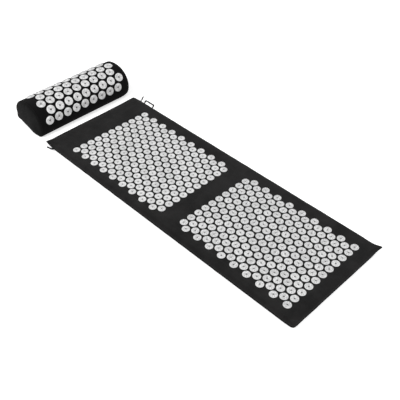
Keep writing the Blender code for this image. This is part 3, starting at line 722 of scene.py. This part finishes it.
def pillow_surface(inset):
    """The pillow's closed surface: points, faces, panels (cover, base, left, right) and UVs."""
    around = OVER + UNDER
    centre = np.array([0.0, PILLOW_HEIGHT * 0.42])
    along = np.roll(section, -1, axis=0) - np.roll(section, 1, axis=0)
    inward = np.column_stack((-along[:, 1], along[:, 0]))
    inward /= np.linalg.norm(inward, axis=1, keepdims=True)
    inward *= np.sign(np.sum(inward * (centre - section), axis=1))[:, None]
    walked = walk(section)
    length = PILLOW_HALF - END_RADIUS
    runs = np.linspace(-length, length, ALONG + 1)
    for end in (-PILLOW_ZIP_HALF - ZIP_END_ROOM, PILLOW_ZIP_HALF + ZIP_END_ROOM):
        runs[np.abs(runs - end).argmin()] = end
    radius = END_RADIUS - inset
    # Rings over the rounded end edge, then shrinking towards the middle of the end.
    rounds = [(length + radius * math.sin(a), END_RADIUS - radius * math.cos(a) - inset, 1.0)
              for a in [math.radians(t) for t in (22, 45, 68, 90)]]
    caps = (0.88, 0.76, 0.64, 0.52, 0.40, 0.29, 0.18, 0.09)
    rounds += [(*rounds[-1][:2], share) for share in caps]
    rows = [(-x, depth, 2, share) for x, depth, share in reversed(rounds)]
    rows += [(x, 0.0, 0, 1.0) for x in runs]
    rows += [(x, depth, 3, share) for x, depth, share in rounds]
    points = []
    for x, depth, panel, share in rows:
        ring = section + inward * (depth + inset)
        ring = centre + (ring - centre) * share
        points += [(PILLOW.x + x, PILLOW.y + y, z) for y, z in ring]
    faces, panels, uvs = [], [], []
    for r in range(len(rows) - 1):
        ends = [rows[r][2], rows[r + 1][2]]
        for k in range(around):
            t = (k + 1) % around
            face = [r * around + k, r * around + t, (r + 1) * around + t, (r + 1) * around + k]
            panel = max(ends) or (0 if k < OVER else 1)
            faces.append(face)
            panels.append(panel)
            for v in face:
                x, y, z = points[v]
                if panel == 0:
                    uvs.append((x, walked[v % around]))
                else:
                    uvs.append((x, y) if panel == 1 else (y, z))
    for first, panel, flip in ((0, 2, True), ((len(rows) - 1) * around, 3, False)):
        middle = len(points)
        x = points[first][0]
        points.append((x, PILLOW.y + centre[0], centre[1]))
        for k in range(around):
            t = (k + 1) % around
            face = [first + t, first + k, middle] if flip else [first + k, first + t, middle]
            faces.append(face)
            panels.append(panel)
            uvs += [(points[v][1], points[v][2]) for v in face]
    return np.array(points), faces, panels, uvs


fine = np.array(arch[::-1])
walked = walk(fine)
pillow_places, pillow_facings = [], []
for row in range(PILLOW_ROWS):
    wanted = walked[-1] / 2 + (row - (PILLOW_ROWS - 1) / 2) * PILLOW_ROW_PITCH + BAND_SHIFT
    at = int(np.abs(walked - wanted).argmin())
    run = fine[at + 1] - fine[at - 1]
    facing = Vector((0.0, -run[1], run[0])).normalized()
    for i in range(PILLOW_ROW):
        x = ROW_SHIFT + (i - (PILLOW_ROW - 1) / 2 + row % 2 / 2) * PILLOW_DISC_PITCH
        pillow_places.append(PILLOW + Vector((x, fine[at][0], fine[at][1])))
        pillow_facings.append(facing)

# Where the soft ends give way: a place, how far it moves, and over which reach.
SLUMPS = (((-0.196, 0.758, 0.0), (0.0, 0.0, 0.013), 0.045),
          ((-0.196, 0.640, 0.004), (-0.0065, 0.0, 0.0), 0.034),
          ((0.220, 0.602, 0.0), (-0.0075, 0.004, 0.003), 0.022),
          ((0.220, 0.758, 0.0), (-0.005, -0.004, 0.005), 0.030))


def slumped(points):
    """The pillow's points with its lower corners tucked in and its left end pushed out."""
    points = np.array(points)
    for place, shift, reach in SLUMPS:
        far = np.linalg.norm(points - place, axis=1)
        points += np.exp(-((far / reach) ** 2))[:, None] * shift
    return points


points, faces, panels, uvs = pillow_surface(0.0)
blank = new_piece("pillow_blank", mesh_of("pillow_blank", points, faces, panels, uvs))
held = points[:, 2] < 0.0005
# Under each disc the cloth lies flat, a little below the plate's underside, and is held.
for place, facing in zip(pillow_places, pillow_facings):
    away = points - np.array(place)
    height = away @ np.array(facing)
    beside = np.linalg.norm(away - height[:, None] * np.array(facing), axis=1)
    under_disc = (beside < PILLOW_DISC_RADIUS - 0.0005) & (np.abs(height) < 0.008)
    points[under_disc] -= (height[under_disc, None] + CLOTH_BELOW) * np.array(facing)
    held |= under_disc
at_rear = points[:, 1] > PILLOW.y + PILLOW_DEPTH / 2 - 0.0025
at_rear &= np.abs(points[:, 2] - PILLOW_ZIP_HEIGHT) < ZIP_OPENING + HAIR
held |= at_rear & (np.abs(points[:, 0] - PILLOW.x) < PILLOW_ZIP_HALF + 0.010)
set_points(blank, points)
swell(blank, held, PILLOW_BULGE)
points = slumped(points_of(blank))
points[:, 2] = np.maximum(points[:, 2], 0.0)
set_points(blank, points)


def at_pillow_zip(face):
    """The strip of the rear wall that the zip takes."""
    middle = face.calc_center_median()
    beside = (abs(middle.z - PILLOW_ZIP_HEIGHT) < ZIP_OPENING
              and middle.y > PILLOW.y + PILLOW_DEPTH / 2 - 0.004)
    return beside and abs(middle.x - PILLOW.x) < PILLOW_ZIP_HALF + ZIP_END_ROOM


for panel, (side, node_name) in enumerate((
        ("top", "pillow_cover"), ("base", "pillow_base"), ("left", "pillow_left_end"),
        ("right", "pillow_right_end"))):
    # The end panels take the paler copy of the twill, as painted light on the ends.
    cloth = painted_light_end_twill if panel > 1 else twill
    piece = cut_panel(blank, panel, f"pillow_{side}_panel", cloth, at_pillow_zip)
    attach(piece, "pillow")
    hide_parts(node_name)
bpy.data.objects.remove(blank)

add_discs("pillow_discs", pillow_places, pillow_facings, PILLOW_DISC_RADIUS, 40, 13, "pillow")

points, faces, *_ = pillow_surface(PILLOW_FOAM_INSET)
points = slumped(points)
points[:, 1] = np.minimum(points[:, 1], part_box("pillow_foam_core")[1].y)
piece = new_piece("pillow_foam_block", mesh_of("pillow_foam_block", points, faces), foam)
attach(piece, "pillow")
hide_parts("pillow_foam_core")


# Zips: spiral coils of nylon monofilament, sewn to the edges of two woven polyester tapes.
# The tapes are stitched behind the hems, and the loops of the two coils lock into each other.
def mottled(name, roughness, specular, spot, detail, deep, pale, relief=0.0):
    """A material whose colour wanders between two shades, in spots of one size."""
    material, tree, shader = new_material(name, roughness, specular)
    place = node(tree, "ShaderNodeTexCoord").outputs["Object"]
    grain = node(tree, "ShaderNodeTexNoise", {"Vector": place, "Scale": 1 / spot,
                 "Detail": detail})
    shaded(tree, shader, grain.outputs["Fac"], deep, pale, relief, 0.0002)
    return material


# Polyester tape is woven tighter than the cover, at 0.3 mm, which is drawn at 0.6 mm.
# Monofilament has a smooth dull shine.
tape_cloth = woven("woven_polyester_tape", "#141414", "#262626", 0.0006, 0.030, 0.0, 0.4)
nylon = mottled("nylon_monofilament", 0.34, 0.5, 0.004, 2.0, "#171717", "#2a2a2a")
COIL_PITCH = 0.0013
COIL_GAUGE = 0.0009
COIL_HEIGHT = 0.00165
WIRE_RADIUS = 0.00032
TAPE_PAST_END = 0.006
TAPE_STEPS = 40
SLIDER_LENGTH = 0.012


def tube(name, rings, along=None, around=None):
    """A closed mesh through rings of points, with its lengths along and around as cloth UVs."""
    n, last = len(rings[0]), len(rings) - 1
    points = [tuple(p) for ring in rings for p in ring]
    faces, uvs = [], []
    for i in range(last):
        for k in range(n):
            a, b = i * n + k, i * n + (k + 1) % n
            faces.append((a, b, b + n, a + n))
            if along:
                uvs += [(along[i], around[k]), (along[i], around[k + 1]),
                        (along[i + 1], around[k + 1]), (along[i + 1], around[k])]
    faces += [range(n)[::-1], range(last * n, last * n + n)]
    if along:
        uvs += [(points[v][0], points[v][2]) for cap in faces[-2:] for v in cap]
    mesh = mesh_of(name, points, faces, None, uvs or None)
    shape = bmesh.new()
    shape.from_mesh(mesh)
    bmesh.ops.recalc_face_normals(shape, faces=shape.faces)
    shape.to_mesh(mesh)
    shape.free()
    return mesh


def swept(name, outline, start, along, steps, material):
    """A closed outline carried along a straight line."""
    outline, start, along = np.array(outline), np.array(start), np.array(along)
    reach = np.linalg.norm(along)
    mesh = tube(name, [start + along * i / steps + outline for i in range(steps + 1)],
                [reach * i / steps for i in range(steps + 1)],
                walk(np.vstack((outline, outline[:1]))))
    mesh.set_sharp_from_angle(angle=math.radians(40))
    return new_piece(name, mesh, material)


def coil_tree():
    """Geometry nodes: wire loops set side by side along a line, in the line's own plane."""
    tree, given = new_tree("coil_loops", (
        ("Line", "Geometry"), ("Loops", "Int"), ("Wire Radius", "Float"),
        ("Half Size", "Vector"), ("Material", "Material")), "Coil")
    line = node(tree, "GeometryNodeMeshToCurve", {"Mesh": given["Line"]})
    spots = node(tree, "GeometryNodeResampleCurve", {"Curve": line.outputs[0],
                 "Count": given["Loops"]})
    circle = node(tree, "GeometryNodeCurvePrimitiveCircle", {"Resolution": 8, "Radius": 1.0})
    sized = node(tree, "GeometryNodeTransform", {"Geometry": circle.outputs[0],
                 "Scale": given["Half Size"]})
    wire = node(tree, "GeometryNodeCurvePrimitiveCircle", {"Resolution": 5,
                "Radius": given["Wire Radius"]})
    loop = node(tree, "GeometryNodeCurveToMesh", {"Curve": sized.outputs[0],
                "Profile Curve": wire.outputs[0]})
    smooth = node(tree, "GeometryNodeSetShadeSmooth", {"Geometry": loop.outputs[0]})
    way = node(tree, "GeometryNodeInputTangent")
    turned = node(tree, "FunctionNodeAlignRotationToVector", {"Vector": way.outputs[0]}, axis="Z")
    placed = node(tree, "GeometryNodeInstanceOnPoints", {"Points": spots.outputs[0],
                  "Instance": smooth.outputs[0], "Rotation": turned.outputs[0]})
    return close_tree(tree, given, placed)


coils = coil_tree()


def add_zip(prefix, body, start, along, out, length):
    """Tapes and coils of one zip: its closed end, its way along, and the way out of the wall."""
    start, along, out = Vector(start), Vector(along), Vector(out)
    for side, sign in (("upper", 1), ("lower", -1)):
        low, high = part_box(f"{prefix}_zip_tape_{side}")
        face = (high if out.x + out.y > 0 else low).dot(out) - start.dot(out)
        inner, outer, back = 0.0006 * sign, 0.0060 * sign, face - 0.0006
        # The tape's section: its height and its way out, with a raised rib where it is sewn.
        steps = ((inner, face - 0.0003), (inner + 0.0002 * sign, face),
                 (inner + 0.0007 * sign, face), (inner + 0.0010 * sign, face - 0.00012),
                 (inner + 0.0027 * sign, face - 0.00012), (inner + 0.0030 * sign, face - 0.00004),
                 (inner + 0.0033 * sign, face - 0.00012), (outer, face - 0.0002),
                 (outer, back + 0.0001), (inner + 0.0004 * sign, back), (inner, back + 0.0002))
        outline = [tuple(out * y + Vector((0.0, 0.0, z))) for z, y in steps]
        piece = swept(f"{prefix}_tape_{side}", outline, start - along * TAPE_PAST_END,
                      along * (length + 2 * TAPE_PAST_END), TAPE_STEPS, tape_cloth)
        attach(piece, body)
        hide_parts(f"{prefix}_zip_tape_{side}")
        # The pitch divides the slider's travel, so its neck stands between loops at both ends.
        # The two coils stand half a pitch apart.
        travel = length - SLIDER_LENGTH
        pitch = travel / round(travel / COIL_PITCH)
        offset = pitch * (0.35 if sign > 0 else 0.85)
        count = int(length / pitch) - 1
        middle = out * (face + 0.0003 + COIL_GAUGE) + Vector((0.0, 0.0, 0.00135 * sign))
        ends = [start + along * (offset + k * (count - 1) * pitch) + middle for k in (0, 1)]
        line = bpy.data.meshes.new(f"{prefix}_coil_{side}")
        line.from_pydata([tuple(p) for p in ends], [(0, 1)], [])
        piece = new_piece(f"{prefix}_coil_{side}", line)
        outward, upward = COIL_GAUGE - WIRE_RADIUS, COIL_HEIGHT - WIRE_RADIUS
        half_size = (outward, upward, 1.0) if along.y else (upward, outward, 1.0)
        with_nodes(piece, coils, {"Loops": count, "Wire Radius": WIRE_RADIUS,
                   "Half Size": half_size, "Material": nylon})
        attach(piece, body)
        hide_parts(f"{prefix}_zip_coil_{side}")


MAT_ZIP = (HALF_WIDTH, ZIP_START, SEAM_HEIGHT)
PILLOW_ZIP = (PILLOW.x - PILLOW_ZIP_HALF, PILLOW.y + PILLOW_DEPTH / 2, PILLOW_ZIP_HEIGHT)
add_zip("mat", "mat", MAT_ZIP, (0, -1, 0), (1, 0, 0), ZIP_LENGTH)
add_zip("pillow", "pillow", PILLOW_ZIP, (1, 0, 0), (0, 1, 0), 2 * PILLOW_ZIP_HALF)


# Sliders, pulls and stops: zinc die castings with a baked black enamel, tumbled so that every
# edge is eased. The enamel is worn to bare grey metal in specks along the edges.
def enamel_material():
    """Satin black with greyer, duller specks where the enamel has worn."""
    material, tree, shader = new_material("black_enamelled_zinc", 0.32, 0.5)
    place = node(tree, "ShaderNodeTexCoord").outputs["Object"]
    mottle = node(tree, "ShaderNodeTexNoise", {"Vector": place, "Scale": 1 / 0.0015,
                  "Detail": 4.0, "Roughness": 0.7})
    ramp = shaded(tree, shader, mottle.outputs["Fac"], "#1a1a1b", "#3c3c3e")
    ramp.color_ramp.elements[0].position = 0.45
    ramp.color_ramp.elements[1].position = 0.78
    rough = node(tree, "ShaderNodeMapRange", {"Value": mottle.outputs["Fac"], "To Min": 0.22,
                 "To Max": 0.45})
    tree.links.new(rough.outputs[0], shader.inputs["Roughness"])
    return material


enamel = enamel_material()


def eased(node_name, name, body, width):
    """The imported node's own shape with its edges rounded over."""
    shape = bmesh.new()
    shape.from_mesh(frame["nodes"][node_name].data)
    bmesh.ops.remove_doubles(shape, verts=shape.verts, dist=HAIR)
    bmesh.ops.dissolve_limit(shape, angle_limit=math.radians(1), verts=shape.verts,
                             edges=shape.edges)
    mesh = bpy.data.meshes.new(name)
    shape.to_mesh(mesh)
    shape.free()
    mesh.shade_smooth()
    piece = new_piece(name, mesh, enamel)
    rounding = piece.modifiers.new("eased", "BEVEL")
    rounding.width = width
    rounding.segments = 2
    rounding.limit_method = "ANGLE"
    rounding.harden_normals = True
    bake_modifiers(piece)
    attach(piece, body)
    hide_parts(node_name)


# Each casting: its name, the body that it rides on after the zip's own name, and its easing.
CASTINGS = (("slider", "_zip_slider", 0.00016), ("pull", "_zip_pull", 0.0003),
            ("top_stop_upper", "", 0.00015), ("top_stop_lower", "", 0.00015),
            ("bottom_stop", "", 0.00015))
for prefix in ("mat", "pillow"):
    for part, body, width in CASTINGS:
        eased(f"{prefix}_zip_{part}", f"{prefix}_{part}", prefix + body, width)


# Hanging loop and side tab: black polyester ribbon, woven flat and heat-cut, with a faint even
# rib that is drawn at 0.7 mm. The loop is a narrow ribbon tacked above the zip, and the tab a
# short folded piece caught in the left seam.
RIBBON_SIDES = 16
ribbon_cloth = woven("woven_polyester_ribbon", "#131313", "#242424", 0.0007, 0.030, 0.05, 0.5)


def rounded_path(corners, radius, steps):
    """The same path with its inner corners rounded."""
    corners = [Vector(c) for c in corners]
    path = [corners[0]]
    for before, at, after in zip(corners, corners[1:], corners[2:]):
        one, two = (before - at).normalized(), (after - at).normalized()
        reach = radius / math.tan(one.angle(two) / 2)
        a, b = at + one * reach, at + two * reach
        for k in range(steps + 1):
            t = k / steps
            path.append(a * (1 - t) ** 2 + at * 2 * t * (1 - t) + b * t**2)
    return path + [corners[-1]]


def ribbon(name, path, across, up, power=4.0, eases=None):
    """A flat band along a level path: half its size across the path, and half its height."""
    path = [Vector(p) for p in path]
    turns = [2 * math.pi * k / RIBBON_SIDES for k in range(RIBBON_SIDES)]
    shape = [(squarer(math.cos(a), power), squarer(math.sin(a), power)) for a in turns]
    lengths, rings = [0.0], []
    for i, p in enumerate(path):
        if i:
            lengths.append(lengths[-1] + (p - path[i - 1]).length)
        way = (path[min(i + 1, len(path) - 1)] - path[max(i - 1, 0)]).normalized()
        side = Vector((-way.y, way.x, 0.0))
        ease = eases[i] if eases else 0.75 if i in (0, len(path) - 1) else 1.0
        rings.append([p + side * c * across * ease + Vector((0, 0, s * up * ease))
                      for c, s in shape])
    around = [4 * (across + up) * k / RIBBON_SIDES for k in range(RIBBON_SIDES + 1)]
    return new_piece(name, tube(name, rings, lengths, around), ribbon_cloth)


# The loop: where its two ends leave the side, how far it reaches out, how far its bar leans
# towards the head, its ribbon's width, how much of it is caught in the side, and its bend.
LOOP_NEAR = HALF_LENGTH - 0.0595
LOOP_FAR = LOOP_NEAR - 0.045
LOOP_REACH, LOOP_LEAN, LOOP_BAND, LOOP_TUCKED, LOOP_BEND = 0.0155, 0.0085, 0.0042, 0.0055, 0.0032
# Its ribbon is drawn fuller than its solid, so that it shows: up and down, and across.
FULLER, WIDER = 0.0011, 0.0006
low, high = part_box("mat_hanging_loop")
bar, root = low.x + LOOP_REACH - LOOP_BAND / 2, low.x - LOOP_TUCKED
tuck = LOOP_LEAN * (low.x - root) / (bar - low.x)
level, half_height = (low.z + high.z) / 2 + FULLER, (high.z - low.z) / 2 + FULLER
corners = ((root, LOOP_NEAR - tuck, level), (bar, LOOP_NEAR + LOOP_LEAN, level),
           (bar, LOOP_FAR + LOOP_LEAN, level), (root, LOOP_FAR - tuck, level))
piece = ribbon("mat_loop", rounded_path(corners, LOOP_BEND, 5), LOOP_BAND / 2 + WIDER,
               half_height)
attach(piece, "mat")
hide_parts("mat_hanging_loop")

# The tab: where it leaves the side, how far out and along it goes, and its half sizes. Its
# line runs smoothly through shares of those two ways.
TAB_START = HALF_LENGTH - 0.046
TAB_OUT, TAB_ALONG = 0.0135, 0.0230
TAB_ACROSS, TAB_UP = 0.0010, 0.0034
shares = ((-0.12, 0.0), (0.2, 0.0), (0.42, 0.12), (0.62, 0.33), (0.72, 0.62), (0.82, 0.85),
          (1.0, 1.0))
path = [Vector((-HALF_WIDTH - 0.0001 - TAB_OUT * x, TAB_START + TAB_ALONG * y, SEAM_HEIGHT))
        for x, y in shares]
smooth = []
for i in range(len(path) - 1):
    p0, p1, p2, p3 = (path[min(max(i + k, 0), len(path) - 1)] for k in (-1, 0, 1, 2))
    for k in range(4):
        t = k / 4
        smooth.append(0.5 * ((2 * p1) + (p2 - p0) * t + (2 * p0 - 5 * p1 + 4 * p2 - p3) * t**2
                             + (3 * p1 - p0 - 3 * p2 + p3) * t**3))
smooth.append(path[-1])
piece = ribbon("mat_tab", smooth, TAB_ACROSS, TAB_UP, 6.0)
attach(piece, "mat")
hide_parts("mat_side_tab")


# Grips: a sleeve of soft black rubber moulded over the outer part of each pull, so that it can
# be felt and held. The rubber is dull, finely grained and a little uneven in shade.
GRIP_ACROSS, GRIP_UP = 0.0021, 0.0030
# How far from the pin each ring of the sleeve lies, and the share of its full size there.
SLEEVE = ((0.0085, 0.5), (0.0090, 0.72), (0.0098, 0.86), (0.0120, 0.94), (0.0180, 1.0),
          (0.0260, 1.0), (0.0310, 0.97), (0.0335, 0.86), (0.0346, 0.66), (0.0350, 0.40))
rubber = mottled("moulded_rubber", 0.7, 0.3, 0.0012, 3.0, "#111111", "#222222", 0.2)
pins = {joint["child"]: Vector(joint["pos_m"]) for joint in frame["record"]["behaviour"]["joints"]
        if joint["type"] == "hinge"}
for prefix in ("mat", "pillow"):
    body = f"{prefix}_zip_pull"
    pin, strip = pins[body], points_of(bpy.data.objects[f"{prefix}_pull"])
    # The sleeve lies along the line from the pull's pin to its tip.
    reach = strip - np.array(pin)
    tip = strip[np.linalg.norm(reach[:, :2], axis=1).argmax()]
    way = Vector((tip[0] - pin.x, tip[1] - pin.y, 0.0)).normalized()
    piece = ribbon(f"{prefix}_pull_grip", [pin + way * at for at, _ in SLEEVE], GRIP_ACROSS,
                   GRIP_UP, 4.0, [size for _, size in SLEEVE])
    piece.data.materials[0] = rubber
    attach(piece, body)


# Stitches: black spun polyester thread, a little greyer than the cloth, in a lockstitch. One
# row holds each hem to its zip tape, bars of close stitches lock both ends, and bar-tacks hold
# the loop and the tab.
thread = mottled("spun_polyester_thread", 0.6, 0.4, 0.0009, 2.0, "#121212", "#363636")


def stitch_blank():
    """One stitch: a thread that rises out of the cloth and dips back into it."""
    stations = ((-0.00115, 0.00010, -0.00012), (-0.0008, 0.00022, 0.00004),
                (0.0, 0.00025, 0.00014), (0.0008, 0.00022, 0.00004), (0.00115, 0.00010, -0.00012))
    turns = [math.pi * k / 3 for k in range(6)]
    rings = [[(x, r * math.cos(a), z + r * math.sin(a)) for a in turns] for x, r, z in stations]
    return new_piece("stitch", tube("stitch", rings), thread)


def stitch_tree():
    """Geometry nodes: a stitch on each vertex, square to its facing and turned along the row."""
    tree, given = new_tree("stitches", (("Places", "Geometry"), ("Stitch", "Object"),
                           ("Material", "Material")), "Stitches")
    stitch = node(tree, "GeometryNodeObjectInfo", {"Object": given["Stitch"]})
    facing, along = (node(tree, "GeometryNodeInputNamedAttribute", {"Name": key},
                     data_type="FLOAT_VECTOR") for key in ("facing", "along"))
    upright = node(tree, "FunctionNodeAlignRotationToVector", {"Vector": facing.outputs[0]},
                   axis="Z")
    turned = node(tree, "FunctionNodeAlignRotationToVector", {"Rotation": upright.outputs[0],
                  "Vector": along.outputs[0]}, axis="X", pivot_axis="Z")
    placed = node(tree, "GeometryNodeInstanceOnPoints", {"Points": given["Places"],
                  "Instance": stitch.outputs["Geometry"], "Rotation": turned.outputs[0]})
    return close_tree(tree, given, placed)


STITCH_PITCH = 0.0030
BAR_PITCH = 0.0006
END_BARS = (0.0055, 0.0061)  # how far past the zip's ends
END_BAR_STEP = 0.0022
ROW_PAST_END = 0.003
HEM_ROW = ZIP_OPENING + 0.0014
stitches = stitch_tree()


def zip_rows(start, along, out, length, panels):
    """Stitch places along both hems of a zip, and bars over its two ends."""
    start, along, out, up = Vector(start), Vector(along), Vector(out), Vector((0, 0, 1))
    wanted = []
    for sign in (1, -1):
        for k in range(int((length + 2 * ROW_PAST_END) / STITCH_PITCH) + 1):
            at = k * STITCH_PITCH - ROW_PAST_END
            wanted.append((start + along * at + up * HEM_ROW * sign, along))
    for at in [-past for past in END_BARS] + [length + past for past in END_BARS]:
        wanted += [(start + along * at + up * END_BAR_STEP * k, up) for k in (-1, 0, 1)]
    found = []
    for place, way in wanted:
        hits = [panel.closest_point_on_mesh(place + out * 0.002) for panel in panels]
        near = min(hits, key=lambda hit: (hit[1] - place).length)
        found.append((near[1], near[2], way))
    return found


def add_stitches(name, found, body):
    """All the stitches of one body as one piece."""
    places, facings, ways = zip(*found)
    blank = stitch_blank()
    piece = new_piece(name, place_mesh(name, places, facing=facings, along=ways))
    with_nodes(piece, stitches, {"Stitch": blank, "Material": thread})
    bpy.data.objects.remove(blank)
    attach(piece, body)


found = zip_rows(MAT_ZIP, (0, -1, 0), (1, 0, 0), ZIP_LENGTH,
                 [bpy.data.objects["mat_top_panel"], bpy.data.objects["mat_bottom_panel"]])
# Bar-tacks: five stitches over each end of the loop, and four on each face of the tab.
for y in (LOOP_NEAR, LOOP_FAR):
    slope = LOOP_LEAN / (bar - low.x)
    found += [(Vector((HALF_WIDTH + 0.0002 + BAR_PITCH * k, y + slope * BAR_PITCH * k,
                       level + half_height)), Vector((0, 0, 1)), Vector((0, 1, 0)))
              for k in range(5)]
for face_y in (-1, 1):
    found += [(Vector((-HALF_WIDTH - 0.0010 - BAR_PITCH * k, TAB_START + face_y * 0.0006,
                       SEAM_HEIGHT + 0.0013 * j)), Vector((0, face_y, 0)), Vector((0, 0, 1)))
              for k in range(2) for j in (-1, 1)]
add_stitches("mat_stitches", found, "mat")
found = zip_rows(PILLOW_ZIP, (1, 0, 0), (0, 1, 0), 2 * PILLOW_ZIP_HALF,
                 [bpy.data.objects["pillow_top_panel"]])
add_stitches("pillow_stitches", found, "pillow")


# Stage: a white sweep under plain soft studio light, with one large lamp behind the head end
# and a softer one at the foot. What the camera and reflections see of it is white.
def seen_rays(tree):
    """1 for a ray from the camera, a reflection or a clear surface, and 0 for light alone."""
    path = node(tree, "ShaderNodeLightPath").outputs
    seen = path["Is Camera Ray"]
    for kind in ("Is Glossy Ray", "Is Transmission Ray"):
        seen = node(tree, "ShaderNodeMath", {0: seen, 1: path[kind]},
                    operation="MAXIMUM").outputs[0]
    return seen


def stage_material():
    """White card that keeps the object's shadow and looks white to the eye."""
    material, tree, shader = new_material("white_sweep", 0.9, 0.0)
    shader.inputs["Base Color"].default_value = (0.9, 0.9, 0.9, 1.0)
    glow = node(tree, "ShaderNodeEmission", {"Color": (1.0, 1.0, 1.0, 1.0), "Strength": 0.5})
    none = node(tree, "ShaderNodeEmission", {"Color": (0.0, 0.0, 0.0, 1.0), "Strength": 0.0})
    extra = node(tree, "ShaderNodeMixShader", {0: seen_rays(tree), 1: none.outputs[0],
                 2: glow.outputs[0]})
    total = node(tree, "ShaderNodeAddShader", {0: shader.outputs[0], 1: extra.outputs[0]})
    tree.links.new(total.outputs[0], tree.nodes["Material Output"].inputs["Surface"])
    return material


FLOOR_HALF = 30.0
corners = [(x * FLOOR_HALF, y * FLOOR_HALF, 0) for x, y in ((-1, -1), (1, -1), (1, 1), (-1, 1))]
floor = new_piece("floor", mesh_of("floor", corners, [(0, 1, 2, 3)]), stage_material())
floor.location.z = -0.0002

world = bpy.data.worlds.new("studio")
bpy.context.scene.world = world
world.use_nodes = True
tree = world.node_tree
strength = node(tree, "ShaderNodeMapRange", {"Value": seen_rays(tree), "To Min": 0.55,
                "To Max": 1.0})
tree.links.new(strength.outputs[0], tree.nodes["Background"].inputs["Strength"])
tree.nodes["Background"].inputs["Color"].default_value = (1.0, 1.0, 1.0, 1.0)

for name, place, aim, size, power in (
    ("key", (-2.0, 0.9, 2.7), (0.0, 0.1, 0.0), 1.1, 60.0),
    ("fill", (0.9, -2.6, 2.0), (0.0, 0.0, 0.0), 2.2, 38.0),
):
    lamp = bpy.data.objects.new(name, bpy.data.lights.new(name, "AREA"))
    lamp.data.size = size
    lamp.data.energy = power
    lamp.location = place
    lamp.rotation_euler = (Vector(aim) - Vector(place)).to_track_quat("-Z", "Y").to_euler()
    bpy.context.scene.collection.objects.link(lamp)

bpy.context.scene.view_settings.view_transform = "Standard"
